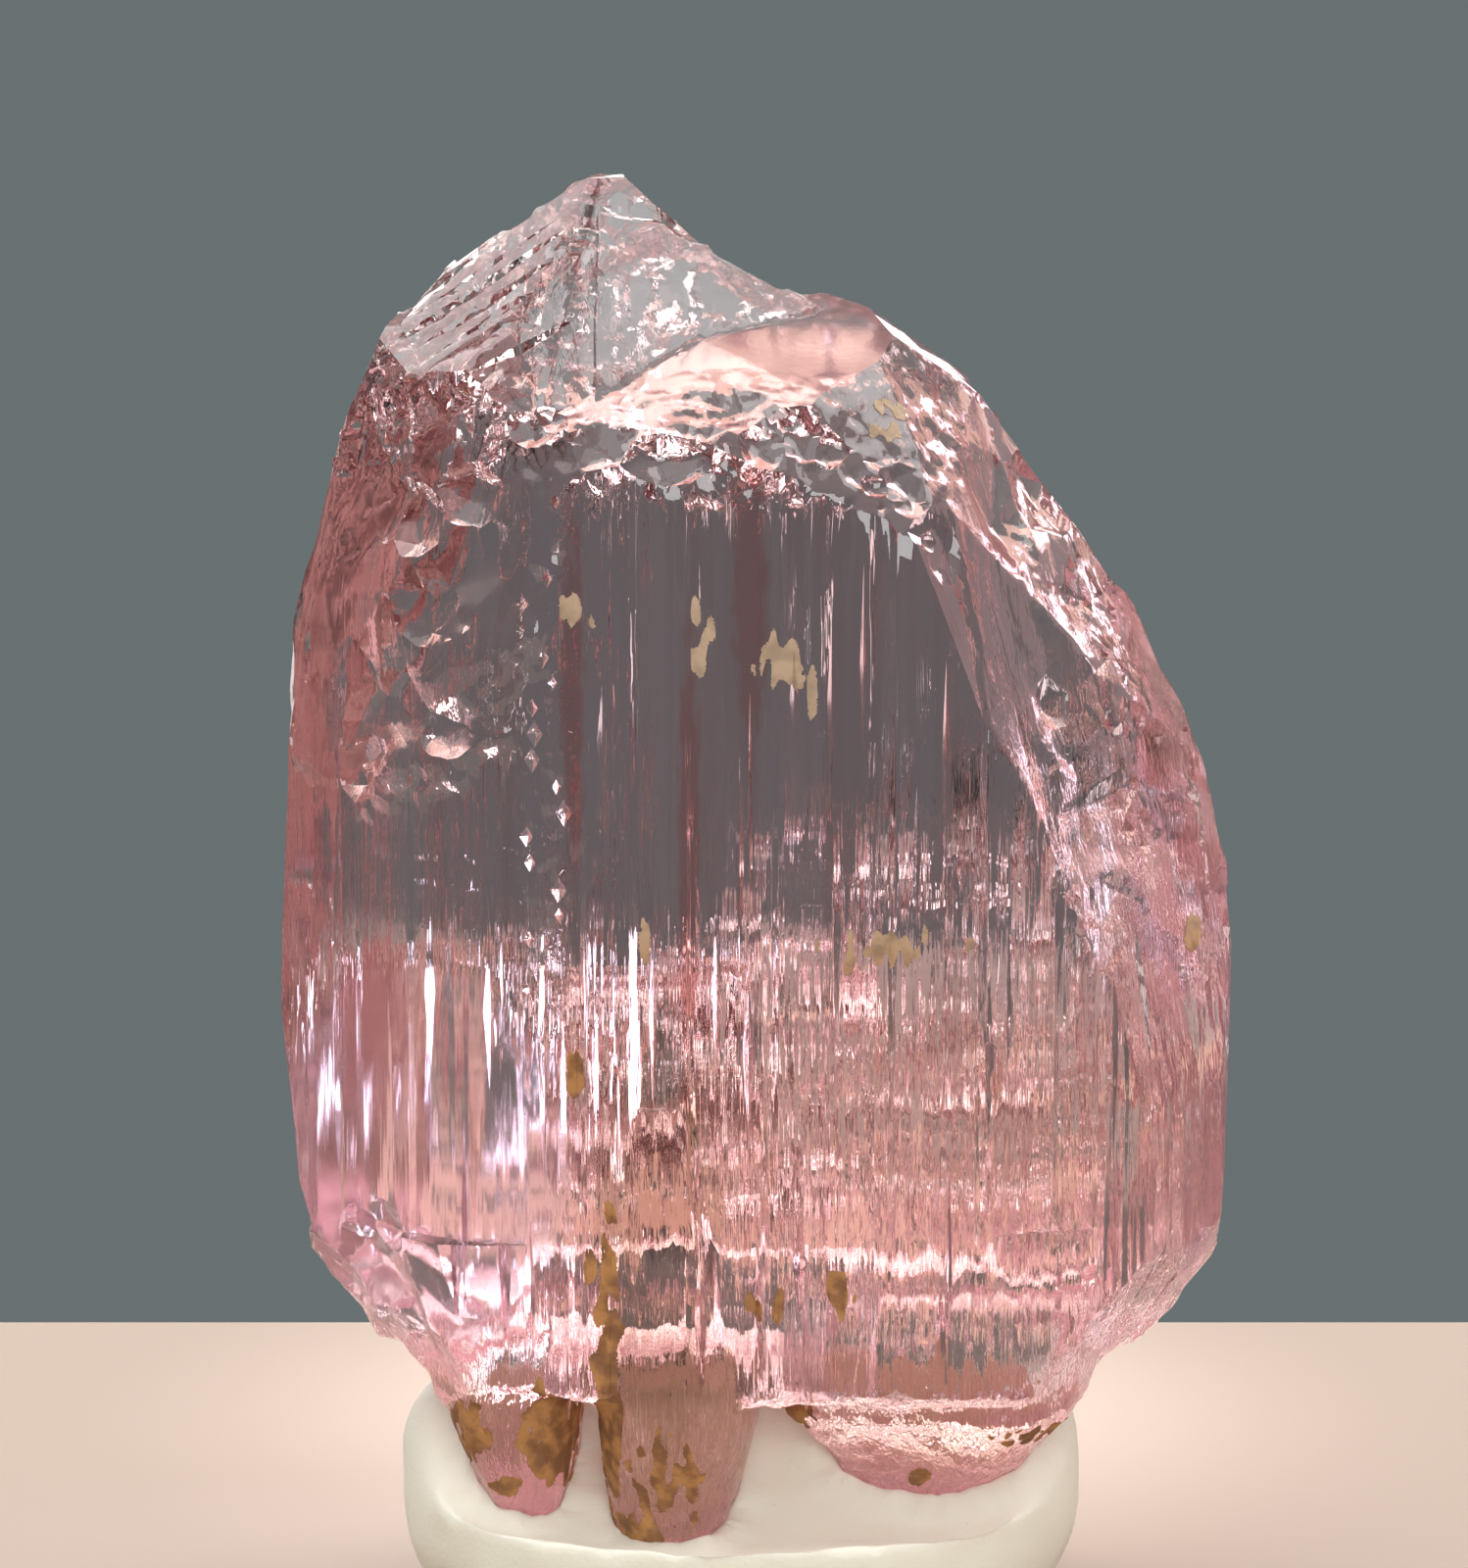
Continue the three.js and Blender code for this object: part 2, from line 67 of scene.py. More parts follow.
# %% Camera
FRAME_HEIGHT_MM = 68.5           # how much of the crystal's plane the frame's height takes in
CAMERA_DISTANCE = 260 * MM
CAMERA_DOWN = math.radians(8)
SENSOR = 36
AIM = Vector((-1.1 * MM, -1.6 * MM, TIP + 33.7 * MM))


def place_camera():
    data = bpy.data.cameras.new("camera")
    data.sensor_fit = "VERTICAL"
    data.sensor_height = SENSOR
    data.lens = SENSOR * CAMERA_DISTANCE / (FRAME_HEIGHT_MM * MM)
    camera = bpy.data.objects.new("camera", data)
    bpy.context.scene.collection.objects.link(camera)
    towards = Vector((0, math.cos(CAMERA_DOWN), -math.sin(CAMERA_DOWN)))
    camera.location = AIM - towards * CAMERA_DISTANCE
    camera.rotation_euler = towards.to_track_quat("-Z", "Y").to_euler()
    bpy.context.scene.camera = camera
    return camera


camera = place_camera()
print(f"camera: {camera.data.lens:.0f} mm lens at {CAMERA_DISTANCE:.2f} m")

# %% [markdown]
# ## A short hand for node trees
# Relief and finishes are both node trees here, and a tree of thirty nodes is hard to read when
# each node takes five lines. This helper makes a node, sets or links its inputs, and gives back
# one output, so a tree reads like a formula. Map Range with a smooth step is called fade, since
# that is what it does: 0 on one side of a band, 1 on the other.

# %% Node helper
class Tree:
    def __init__(self, tree):
        self.tree, self.nodes, self.links = tree, tree.nodes, tree.links

    def feed(self, socket, value):
        if isinstance(value, bpy.types.NodeSocket):
            self.links.new(value, socket)
        else:
            socket.default_value = value

    def add(self, kind, values, output=0, **settings):
        node = self.nodes.new(kind)
        for name, setting in settings.items():
            setattr(node, name, setting)
        for key, value in values.items():
            self.feed(node.inputs[key], value)
        return node.outputs[output]

    def math(self, operation, a, b=0.0):
        return self.add("ShaderNodeMath", {0: a, 1: b}, operation=operation)

    def but_not(self, mask):
        return self.math("SUBTRACT", 1.0, mask)

    def centred(self, value):
        return self.math("SUBTRACT", value, 0.5)

    def times(self, first, *others):
        for other in others:
            first = self.math("MULTIPLY", first, other)
        return first

    def plus(self, first, *others):
        for other in others:
            first = self.math("ADD", first, other)
        return first

    def vector(self, operation, a, b=(0, 0, 0), output=0):
        return self.add("ShaderNodeVectorMath", {0: a, 1: b}, output, operation=operation)

    def split(self, vector):
        node = self.nodes.new("ShaderNodeSeparateXYZ")
        self.feed(node.inputs[0], vector)
        return node.outputs

    def join(self, x, y, z):
        return self.add("ShaderNodeCombineXYZ", {0: x, 1: y, 2: z})

    def fade(self, value, start, end, low=0.0, high=1.0):
        values = {"Value": value, "From Min": start, "From Max": end,
                  "To Min": low, "To Max": high}
        return self.add("ShaderNodeMapRange", values, interpolation_type="SMOOTHSTEP")

    def place(self):
        """Where each shaded point lies on its piece, in metres."""
        return self.add("ShaderNodeTexCoord", {}, "Object")

    def shifted(self, place, seed):
        """The same pattern somewhere else: each seed reads another part of it."""
        values = {0: (17.3, 5.9, 11.7), "Scale": seed}
        step = self.add("ShaderNodeVectorMath", values, operation="SCALE")
        return self.vector("ADD", place, step)

    def noise(self, place, seed, detail=2.0, rough=0.5):
        values = {"Vector": self.shifted(place, seed), "Scale": 1.0, "Detail": detail,
                  "Roughness": rough}
        return self.add("ShaderNodeTexNoise", values, noise_dimensions="3D")

    def cells(self, place, seed, output="Distance", distance="EUCLIDEAN"):
        values = {"Vector": self.shifted(place, seed), "Scale": 1.0}
        return self.add("ShaderNodeTexVoronoi", values, output, voronoi_dimensions="3D",
                        distance=distance)

    def bump(self, height, distance):
        values = {"Height": height, "Distance": distance, "Strength": 1.0}
        return self.add("ShaderNodeBump", values)

    def blend(self, amount, first, second):
        node = self.nodes.new("ShaderNodeMix")
        node.data_type = "RGBA"
        for key, value in ((0, amount), (6, first), (7, second)):
            self.feed(node.inputs[key], value)
        return node.outputs[2]


print("node helper ready")

# %% [markdown]
# Where something lies is said by eggs: a centre and a half size in millimetres. A noise makes
# the border of such an egg wander, because nothing on a grown stone ends in a clean curve.

# %% Masks and new trees
def nearest_reach(tree, place, table):
    """How far a point is from the nearest of a table's eggs: 0 at its centre, 1 at its skin."""
    nearest = 9.0
    for centre, half_size in table:
        away = tree.vector("SUBTRACT", place, tuple(v * MM for v in centre))
        away = tree.vector("DIVIDE", away, tuple(v * MM for v in half_size))
        nearest = tree.math("MINIMUM", nearest, tree.vector("LENGTH", away, output=1))
    return nearest


def ragged_mask(tree, reach, wander, ragged, edge):
    """1 inside and 0 outside, where a noise makes the border wander."""
    reach = tree.plus(reach, tree.times(tree.centred(wander), 2 * ragged))
    return tree.fade(reach, 1 + edge, 1 - edge)


def open_tree(name, kind, inputs, outputs):
    """A new node tree with named sockets, and its group input and output nodes."""
    tree = bpy.data.node_groups.new(name, kind)
    for direction, sockets in (("INPUT", inputs), ("OUTPUT", outputs)):
        for socket_name, socket_kind, *value in sockets:
            socket = tree.interface.new_socket(socket_name, in_out=direction,
                                               socket_type=f"NodeSocket{socket_kind}")
            if value:
                socket.default_value = value[0]
    given = tree.nodes.new("NodeGroupInput").outputs
    result = tree.nodes.new("NodeGroupOutput").inputs
    return Tree(tree), given, result


def new_material(name):
    """A material, its node helper and its Principled shader."""
    material = bpy.data.materials.new(name)
    material.use_nodes = True
    tree = Tree(material.node_tree)
    return material, tree, tree.nodes["Principled BSDF"]


print("masks and new trees ready")

# %% [markdown]
# ## Splitting the surface where the relief needs it
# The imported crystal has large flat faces. Its relief is long and thin: ribs a fifth of a
# millimetre wide that run for many millimetres. Cutting every face into tiny squares would take
# millions, so edges are measured with two rulers: a fine one across the grain and a coarse one
# along it. Any edge longer than 1 on those rulers gets a point in its middle, and so on.
# Splitting alone leaves slivers, and slivers shade badly. So between two rounds, an edge that is
# shared by two thin triangles is turned to join their other two corners. At last the foot, which
# acid has rounded, is smoothed up to a ragged line.

# %% Edge splitting
ACROSS_GRAIN = 0.2 * MM
ALONG_GRAIN = 1.8 * MM
BROKEN_FACE = 0.5 * MM
SMOOTH_FACE = 0.8 * MM
AWAY_COARSER = 2.0               # the back and the sides are split this much more coarsely
FOOT_FACE = 0.4 * MM
TERRACE_FACE = 0.52 * MM
TERRACE_BANDS = ((10 * MM, 36 * MM), (50 * MM, 65 * MM))
FOOT_TOP = 15 * MM
QUIET_COARSER = 1.35             # the long faces high up carry only low broad steps
QUIET_START = 33 * MM
BESIDE, BEHIND = -0.25, 0.4      # a normal reaching this far back is at the side, or behind
ZONE_MARGIN = 1.15               # how far outside its egg a broken zone is still split finely
FLAT_ENOUGH = math.cos(math.radians(4))
STEEP = 0.42                     # a face whose normal rises less than this carries upright ribs
BROKEN_ZONES = {                 # centre and half size of each broken or chipped part, in mm
    "upper left": ((-16.0, -4.0, 48.0), (8.0, 12.0, 11.0)),
    "ledge": ((0.0, -9.0, 53.0), (14.0, 6.0, 2.8)),
    "pitted flank": ((15.5, -5.0, 43.5), (1.9, 6.0, 4.5)),
    "right flank": ((16.5, -2.0, 42.0), (5.5, 12.0, 13.0)),
    "lower left": ((-16.5, -6.0, 14.5), (4.5, 10.0, 4.5)),
    "rough strip": ((-8.9, -10.5, 43.0), (1.5, 4.0, 14.0)),
}
CALM_ZONES = {                   # parts that were etched smooth, right through to the back
    "lower left lobe": ((-14.5, 0.0, 21.5), (7.0, 20.0, 8.5)),
    "left window": ((-14.4, 0.0, 38.0), (1.9, 20.0, 9.0)),
}
print(len(BROKEN_ZONES), "broken zones,", len(CALM_ZONES), "calm ones")

# %% [markdown]
# The rulers differ from place to place. Ribbed faces get the fine and the coarse one, broken
# faces an even one, and the sides and the back are measured more loosely.

# %% Rulers
def face_normals(points, faces):
    a, b, c = (points[faces[:, i]] for i in range(3))
    normals = np.cross(b - a, c - a)
    length = np.linalg.norm(normals, axis=1, keepdims=True)
    return normals / np.maximum(length, 1e-30)


def edge_table(faces, count):
    """Each edge once, and for each face the rows of its edges 0-1, 1-2 and 2-0."""
    ends = np.stack([faces[:, [0, 1]], faces[:, [1, 2]], faces[:, [2, 0]]], axis=1)
    ends = np.sort(ends, axis=2)
    keys, rows = np.unique(ends[..., 0] * count + ends[..., 1], return_inverse=True)
    return np.stack([keys // count, keys % count], axis=1), rows.reshape(-1, 3)


def in_broken_zone(points):
    inside = np.zeros(len(points), bool)
    for centre, half_size in BROKEN_ZONES.values():
        away = (points / MM - centre) / half_size
        inside |= np.linalg.norm(away, axis=1) < ZONE_MARGIN
    return inside


def grain_lengths(points, faces, edges, rows):
    """Each edge's length on the ruler for where it lies: broken, ribbed or smooth."""
    normals = face_normals(points, faces)
    shared = np.bincount(rows.ravel(), minlength=len(edges))

    def over_faces(values):
        return np.bincount(rows.ravel(), np.repeat(values, 3), len(edges)) / shared

    step = points[edges[:, 1]] - points[edges[:, 0]]
    length = np.linalg.norm(step, axis=1)
    ribbed = np.hypot(np.hypot(step[:, 0], step[:, 1]) / ACROSS_GRAIN, step[:, 2] / ALONG_GRAIN)
    steep = over_faces(np.abs(normals[:, 2])) < STEEP
    broken = in_broken_zone(points[edges].mean(axis=1))
    behind = over_faces(normals[:, 1])
    middle = points[edges].mean(axis=1)
    ribbed = ribbed / np.where(middle[:, 2] > QUIET_START, QUIET_COARSER, 1.0)
    measured = np.where(steep, ribbed, length / SMOOTH_FACE)
    measured = np.where(broken, length / BROKEN_FACE, measured)
    measured = np.where(middle[:, 2] < FOOT_TOP, length / FOOT_FACE, measured)
    measured = measured / np.where(behind > BESIDE, AWAY_COARSER, 1.0)
    for low, high in TERRACE_BANDS:
        terraced = (behind > BEHIND) & (middle[:, 2] > low) & (middle[:, 2] < high)
        measured = np.where(terraced, length / TERRACE_FACE, measured)
    return measured


print("rulers ready")

# %% [markdown]
# The splitting works on plain arrays, because it touches hundreds of thousands of edges. It
# doesn't care what the ruler is, so the crust and the putty below use it too.

# %% Splitting and turning edges
NEARLY_LONGEST = 0.9
WORTH_TURNING = 0.05             # in radians, so that no edge is turned back and forth


def split_once(points, faces, measure):
    """Halves edges that are too long, of each triangle only its longest, so none turns thin."""
    edges, rows = edge_table(faces, len(points))
    length = measure(points, faces, edges, rows)
    longest = length[rows] > NEARLY_LONGEST * length[rows].max(axis=1, keepdims=True)
    long = np.zeros(len(edges), bool)
    long[rows[longest]] = True
    long &= length > 1
    middle = np.full(len(edges), -1)
    middle[long] = len(points) + np.arange(long.sum())
    points = np.vstack([points, points[edges[long]].mean(axis=1)])
    cut = middle[rows]
    cuts = (cut >= 0).sum(axis=1)

    def turned(which, first):
        turn = (first[:, None] + np.arange(3)) % 3
        corner = np.take_along_axis(faces[which], turn, axis=1)
        return (*corner.T, *np.take_along_axis(cut[which], turn, axis=1).T)

    kept = faces[cuts == 0]
    a, b, c, ab, _, _ = turned(cuts == 1, np.argmax(cut[cuts == 1] >= 0, axis=1))
    halves = [(a, ab, c), (ab, b, c)]
    a2, b2, c2, ab2, bc2, _ = turned(cuts == 2, (np.argmin(cut[cuts == 2] >= 0, axis=1) + 1) % 3)
    thirds = [(ab2, b2, bc2), (a2, ab2, bc2), (a2, bc2, c2)]
    a3, b3, c3, ab3, bc3, ca3 = turned(cuts == 3, np.zeros((cuts == 3).sum(), int))
    fourths = [(a3, ab3, ca3), (ab3, b3, bc3), (ca3, bc3, c3), (ab3, bc3, ca3)]
    new = [np.stack(corners, axis=1) for corners in halves + thirds + fourths]
    return points, np.vstack([kept, *new])


def flip_once(points, faces, measure):
    """Turns the edge between two triangles the other way, where that makes both less thin."""
    edges, rows = edge_table(faces, len(points))
    length = measure(points, faces, edges, rows)
    sides = np.argsort(rows.ravel(), kind="stable")
    uses = np.bincount(rows.ravel(), minlength=len(edges))
    start = (np.cumsum(uses) - uses)[uses == 2]
    (f, i), (g, j) = np.divmod(sides[start], 3), np.divmod(sides[start + 1], 3)
    a, b, c = (faces[f, (i + k) % 3] for k in range(3))
    d = faces[g, (j + 2) % 3]

    def corner(face, side):
        """The angle opposite a side, from the three lengths on the ruler."""
        across, p, q = (length[rows[face, (side + k) % 3]] for k in range(3))
        return np.arccos(np.clip((p * p + q * q - across * across) / (2 * p * q), -1, 1))

    normals = face_normals(points, faces)
    gain = corner(f, i) + corner(g, j) - math.pi
    level = (normals[f] * normals[g]).sum(axis=1) > FLAT_ENOUGH
    turned = [np.cross(points[d] - points[a], points[c] - points[a]),
              np.cross(points[b] - points[d], points[c] - points[d])]
    unfolded = np.all([(normals[f] * way).sum(axis=1) > 0 for way in turned], axis=0)
    new_key = np.minimum(c, d) * len(points) + np.maximum(c, d)
    taken = np.isin(new_key, edges[:, 0] * len(points) + edges[:, 1])
    wanted = (gain > WORTH_TURNING) & level & unfolded & ~taken
    best = np.zeros(len(faces))
    for face in (f, g):
        np.maximum.at(best, face[wanted], gain[wanted])
    chosen = np.flatnonzero(wanted & (gain == best[f]) & (gain == best[g]))
    chosen = chosen[np.unique(new_key[chosen], return_index=True)[1]]
    faces = faces.copy()
    faces[f[chosen]] = np.stack([a, d, c], axis=1)[chosen]
    faces[g[chosen]] = np.stack([d, b, c], axis=1)[chosen]
    return faces


def split_long_edges(points, faces, measure, passes=8, flips=2):
    for _ in range(passes):
        for _ in range(flips):
            faces = flip_once(points, faces, measure)
        points, faces = split_once(points, faces, measure)
    return points, faces


print("splitting ready")

# %% Reading, rounding and making meshes
def node_arrays(name):
    """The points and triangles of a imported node, with its doubled points merged."""
    work = bmesh.new()
    work.from_mesh(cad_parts[name].data)
    bmesh.ops.remove_doubles(work, verts=work.verts, dist=1e-7)
    bmesh.ops.triangulate(work, faces=work.faces)
    points = np.array([v.co for v in work.verts])
    faces = np.array([[v.index for v in f.verts] for f in work.faces])
    work.free()
    return points, faces


def mesh_object(name, points, faces):
    mesh = bpy.data.meshes.new(name)
    mesh.from_pydata(points, [], faces)
    mesh.validate()
    piece = bpy.data.objects.new(name, mesh)
    bpy.context.scene.collection.objects.link(piece)
    return piece


def softened(points, faces, freedom, passes):
    """Rounds corners: each pass moves a point towards the middle of its neighbours."""
    edges, _ = edge_table(faces, len(points))
    count = np.bincount(edges.ravel(), minlength=len(points))[:, None]
    for _ in range(passes):
        total = np.zeros_like(points)
        np.add.at(total, edges[:, 0], points[edges[:, 1]])
        np.add.at(total, edges[:, 1], points[edges[:, 0]])
        points = points + freedom[:, None] * (total / count - points)
    return points


def ramp(values, start, end):
    """0 at start and before, 1 at end and after, with a smooth step between."""
    t = np.clip((values - start) / (end - start), 0, 1)
    return t * t * (3 - 2 * t)


print("mesh helpers ready")

# %% The crystal split
ROUND_FROM, ROUND_FULL = 15.5 * MM, 11.5 * MM
ROUND_RAGGED = 4 * MM
ROUND_COLUMN = 2 * MM
ROUND_PASSES = 12
SOFTER = 0.6                     # how far one pass moves a point towards its neighbours

crystal_points, crystal_faces = split_long_edges(*node_arrays("crystal"), grain_lengths)
columns = crystal_points * (1, 1, 0.1) / ROUND_COLUMN
ragged_foot = ROUND_RAGGED * np.array([noise.noise(Vector(c)) for c in columns])
etched_round = SOFTER * ramp(crystal_points[:, 2] + ragged_foot, ROUND_FROM, ROUND_FULL)
crystal_points = softened(crystal_points, crystal_faces, etched_round, ROUND_PASSES)
print(f"crystal: {len(crystal_points)} points, {len(crystal_faces)} triangles after splitting")

# %% [markdown]
# ## Patterns that several finishes share
# All grain on this stone is upright, and each surface here has a fine mottle of some kind. So
# three groups are built once: upright streaks, upright panes, and a fine mottle. Each puts out
# one value between 0 and 1, and each material places it with sizes of its own.

# %% Shared pattern groups
def streak_group():
    """Upright streaks: a noise drawn out along the height."""
    tree, given, result = open_tree("upright streaks", "ShaderNodeTree", [
        ("Place", "Vector"), ("Width", "Float", 0.0004), ("Length", "Float", 0.006),
        ("Cover", "Float", 0.5), ("Edge", "Float", 0.12), ("Seed", "Float")], [("Mask", "Float")])
    size = tree.join(given["Width"], given["Width"], given["Length"])
    grain = tree.vector("DIVIDE", given["Place"], size)
    value = tree.noise(grain, given["Seed"], detail=2, rough=0.6)
    level = tree.but_not(given["Cover"])
    start = tree.math("SUBTRACT", level, given["Edge"])
    tree.feed(result["Mask"], tree.fade(value, start, tree.plus(level, given["Edge"])))
    return tree.tree


def mottle_group():
    """A fine even mottle, for dust, bloom and tiny dents."""
    tree, given, result = open_tree("fine mottle", "ShaderNodeTree", [
        ("Place", "Vector"), ("Size", "Float", 0.001), ("Detail", "Float", 4),
        ("Seed", "Float")], [("Value", "Float")])
    grain = tree.vector("DIVIDE", given["Place"], tree.join(*[given["Size"]] * 3))
    tree.feed(result["Value"], tree.noise(grain, given["Seed"], detail=given["Detail"]))
    return tree.tree


def pane_group():
    """Upright panes with sharp edges, each with a level of its own between 0 and 1."""
    tree, given, result = open_tree("upright panes", "ShaderNodeTree", [
        ("Place", "Vector"), ("Size", "Vector", (0.003, 0.003, 0.012)), ("Seed", "Float")],
        [("Level", "Float")])
    grain = tree.vector("DIVIDE", given["Place"], given["Size"])
    tree.feed(result["Level"], tree.split(tree.cells(grain, given["Seed"], "Color"))[0])
    return tree.tree


STREAKS, MOTTLE, PANES = streak_group(), mottle_group(), pane_group()


def use(tree, group, **values):
    """Places a shared group in a material, with its inputs set by name."""
    node = tree.nodes.new("ShaderNodeGroup")
    node.node_tree = group
    for name, value in values.items():
        tree.feed(node.inputs[name.replace("_", " ")], value)
    return node.outputs[0]


print("groups:", *(group.name for group in (STREAKS, MOTTLE, PANES)), sep="\n  ")

# %% [markdown]
# ## The finish of the kunzite
# Clear stone shows what lies behind and under it, bent and tinted. Its pink comes from depth, so
# it is set as absorption inside the stone and not as paint. What changes over the surface is how
# polished it is: growth faces are glassy, broken ones are silky, and etched ones are frosted.
# Iron from the rock has stained the foot and a few spots, where the light is filtered brown.

# %% Where the stone is stained, dull or tinted
FRONT = -8.0                     # where the front face is, in mm
STAIN_DEPTH = 7.0                # how far a stain reaches into the stone, in mm


def on_the_front(*spots):
    """Eggs from spots given by x, height, half width and half height, in mm."""
    return [((x, FRONT, height), (half_width, STAIN_DEPTH, half_height))
            for x, height, half_width, half_height in spots]


ROSE = on_the_front((-0.4, 46.5, 0.75, 6.5), (-7.9, 42.5, 0.5, 8.0), (-3.0, 36.0, 0.5, 9.0))
LOBE = [((-14.5, -6.0, 22.0), (7.0, 14.0, 8.5))]
BROWN_COLUMN = [((-4.4, -8.0, 18.5), (2.9, 7.0, 9.5))]
print(len(ROSE), "rose-red columns in the stone")

# %% [markdown]
# One class holds the masks, because the colour, the roughness and the fine relief all ask where
# the lobe or the foot is. Stained places tint the light that passes, frosted ones scatter it.

# %% Masks, colour, roughness and fine relief
LINE_DEPTH = 0.02 * MM


class KunziteFinish:
    """The finish of the stone, and the masks that its parts share."""

    def __init__(self, tree):
        self.tree = tree
        self.place = place = tree.place()
        _, self.depth, self.height = tree.split(place)
        grain = tree.vector("DIVIDE", place, (0.3 * MM, 2 * MM, 1.1 * MM))
        self.wander = tree.noise(grain, 1.0)
        self.lobe = self.mask(LOBE, 0.25, 0.1)
        self.streaks = use(tree, STREAKS, Place=place, Width=0.5 * MM, Length=7 * MM,
                           Cover=0.42, Seed=1)

    def mask(self, table, ragged, edge):
        reach = nearest_reach(self.tree, self.place, table)
        return ragged_mask(self.tree, reach, self.wander, ragged, edge)

    def below(self, full, none):
        """1 under the first height, 0 over the second."""
        return self.tree.fade(self.height, none, full)

    def colour(self):
        tree = self.tree
        bands = use(tree, STREAKS, Place=self.place, Width=1.3 * MM, Length=40 * MM,
                    Cover=0.42, Seed=12)
        not_lobe = tree.but_not(self.lobe)
        rusty = tree.times(tree.math("MAXIMUM", self.streaks, 0.4),
                           self.below(26 * MM, 33 * MM), not_lobe)
        colour = (1, 0.90, 0.87, 1)
        for amount, tint in (
            (self.lobe, (1, 0.92, 1.0, 1)),
            (self.below(7 * MM, 15 * MM), (1, 0.85, 0.62, 1)),
            (rusty, (0.90, 0.68, 0.52, 1)),
            (tree.times(bands, 0.95, not_lobe), (0.96, 0.72, 0.67, 1)),
            (self.mask(BROWN_COLUMN, 0.3, 0.15), (0.58, 0.44, 0.33, 1)),
            (self.mask(ROSE, 0.5, 0.3), (1.0, 0.42, 0.38, 1)),
        ):
            colour = tree.blend(amount, colour, tint)
        return colour

    def roughness(self):
        tree = self.tree
        facing = tree.split(tree.add("ShaderNodeNewGeometry", {}, "Normal"))[2]
        sides = tree.fade(tree.math("ABSOLUTE", facing), 0.5, 0.3)
        behind = tree.fade(self.depth, 0.0, 2 * MM)
        panes = use(tree, PANES, Place=self.place, Size=(2.6 * MM, 4 * MM, 15 * MM), Seed=1)
        slope = tree.times(tree.fade(facing, 0.78, 0.88),
                           tree.fade(self.height, 46 * MM, 50 * MM))
        deeper = tree.fade(self.depth, -2 * MM, 2 * MM, 0.5, 1.0)
        value = 0.012
        for mask, level in (
            (slope, 0.16),
            (tree.times(self.streaks, sides), 0.02),
            (tree.times(behind, tree.fade(panes, 0.72, 0.76)), 0.14),
            (tree.times(self.lobe, deeper), 0.30),
            (self.below(8 * MM, 15 * MM), 0.14),
        ):
            value = tree.math("MAXIMUM", value, tree.times(mask, level))
        return value

    def fine_relief(self):
        """Grain too fine for the mesh: hair-thin upright lines, deepest at the etched foot."""
        tree = self.tree
        lines = use(tree, STREAKS, Place=self.place, Width=0.3 * MM, Length=5 * MM, Cover=0.5,
                    Edge=0.2, Seed=4)
        lined = tree.times(tree.fade(self.height, 50 * MM, 30 * MM, 0.15, 1.0),
                           tree.but_not(tree.times(self.lobe, 0.8)))
        deep = tree.plus(lined, tree.fade(self.height, 16 * MM, 9 * MM, 0.0, 3.0))
        return tree.bump(lines, tree.times(deep, LINE_DEPTH))


print("kunzite finish ready")

# %% Kunzite material
SPODUMENE_IOR = 1.665
PINK = (0.72, 0.16, 0.29, 1)     # 1 minus this, times the density, is absorbed per metre
PINK_DENSITY = 24


def kunzite_material():
    material, tree, shader = new_material("kunzite")
    finish = KunziteFinish(tree)
    tree.feed(shader.inputs["Base Color"], finish.colour())
    tree.feed(shader.inputs["Roughness"], finish.roughness())
    tree.feed(shader.inputs["Normal"], finish.fine_relief())
    shader.inputs["Transmission Weight"].default_value = 1
    shader.inputs["IOR"].default_value = SPODUMENE_IOR
    absorb = tree.nodes.new("ShaderNodeVolumeAbsorption")
    absorb.inputs["Color"].default_value = PINK
    absorb.inputs["Density"].default_value = PINK_DENSITY
    tree.links.new(absorb.outputs[0], tree.nodes["Material Output"].inputs["Volume"])
    return material


kunzite = kunzite_material()
print("material:", kunzite.name, "with", len(kunzite.node_tree.nodes), "nodes")

# %% [markdown]
# ## The relief on the crystal
# The long faces carry flat-topped upright steps, left where layer grew on layer. Near the foot
# acid etched them into deep pointed grooves. The sloping top is a broken face with slow swells,
# and the ledge and flanks are chipped, so they get shallow flat-sided dents. The back of the
# lower half is etched into short treads that lean like roof tiles. A tread that leans bends a
# ray down to the lit slab, so the lower half is bright where the plain faces above stay dark.
# All of it follows the surface by a rule, so Geometry Nodes push each point along its normal by
# a height worked out from its place. Other sizes would give another crystal of the same kind.

# %% Trees that shape a piece
def shape_tree(name, values):
    """A geometry tree with these named inputs, and the place and normal of each point."""
    sockets = [("Geometry", "Geometry"), *((key, "Float", value) for key, value in values.items()),
               ("Material", "Material")]
    tree, given, result = open_tree(name, "GeometryNodeTree", sockets, [("Geometry", "Geometry")])
    place = tree.add("GeometryNodeInputPosition", {})
    normal = tree.add("GeometryNodeInputNormal", {})
    return tree, given, result, place, normal


def push_out(tree, given, result, normal, raised):
    """Ends a shape tree: points go out along their normals, and the piece gets its material."""
    offset = tree.vector("MULTIPLY", normal, tree.join(raised, raised, raised))
    moved = tree.add("GeometryNodeSetPosition", {"Geometry": given["Geometry"], "Offset": offset})
    real = tree.add("GeometryNodeRealizeInstances", {"Geometry": moved})
    values = {"Geometry": real, "Material": given["Material"]}
    tree.feed(result["Geometry"], tree.add("GeometryNodeSetMaterial", values))


def shaped_by(piece, tree, values):
    """The piece as a plain mesh, after a geometry tree with these named inputs has shaped it."""
    modifier = piece.modifiers.new(tree.name, "NODES")
    modifier.node_group = tree
    for item in tree.interface.items_tree:
        if item.in_out == "INPUT" and item.name in values:
            modifier[item.identifier] = values[item.name]
    evaluated = piece.evaluated_get(bpy.context.evaluated_depsgraph_get())
    mesh = bpy.data.meshes.new_from_object(evaluated)
    piece.modifiers.remove(modifier)
    piece.data = mesh
    return piece


def mark_sharp_edges(piece, angle):
    piece.data.shade_smooth()
    piece.data.set_sharp_from_angle(angle=angle)


print("shape trees ready")

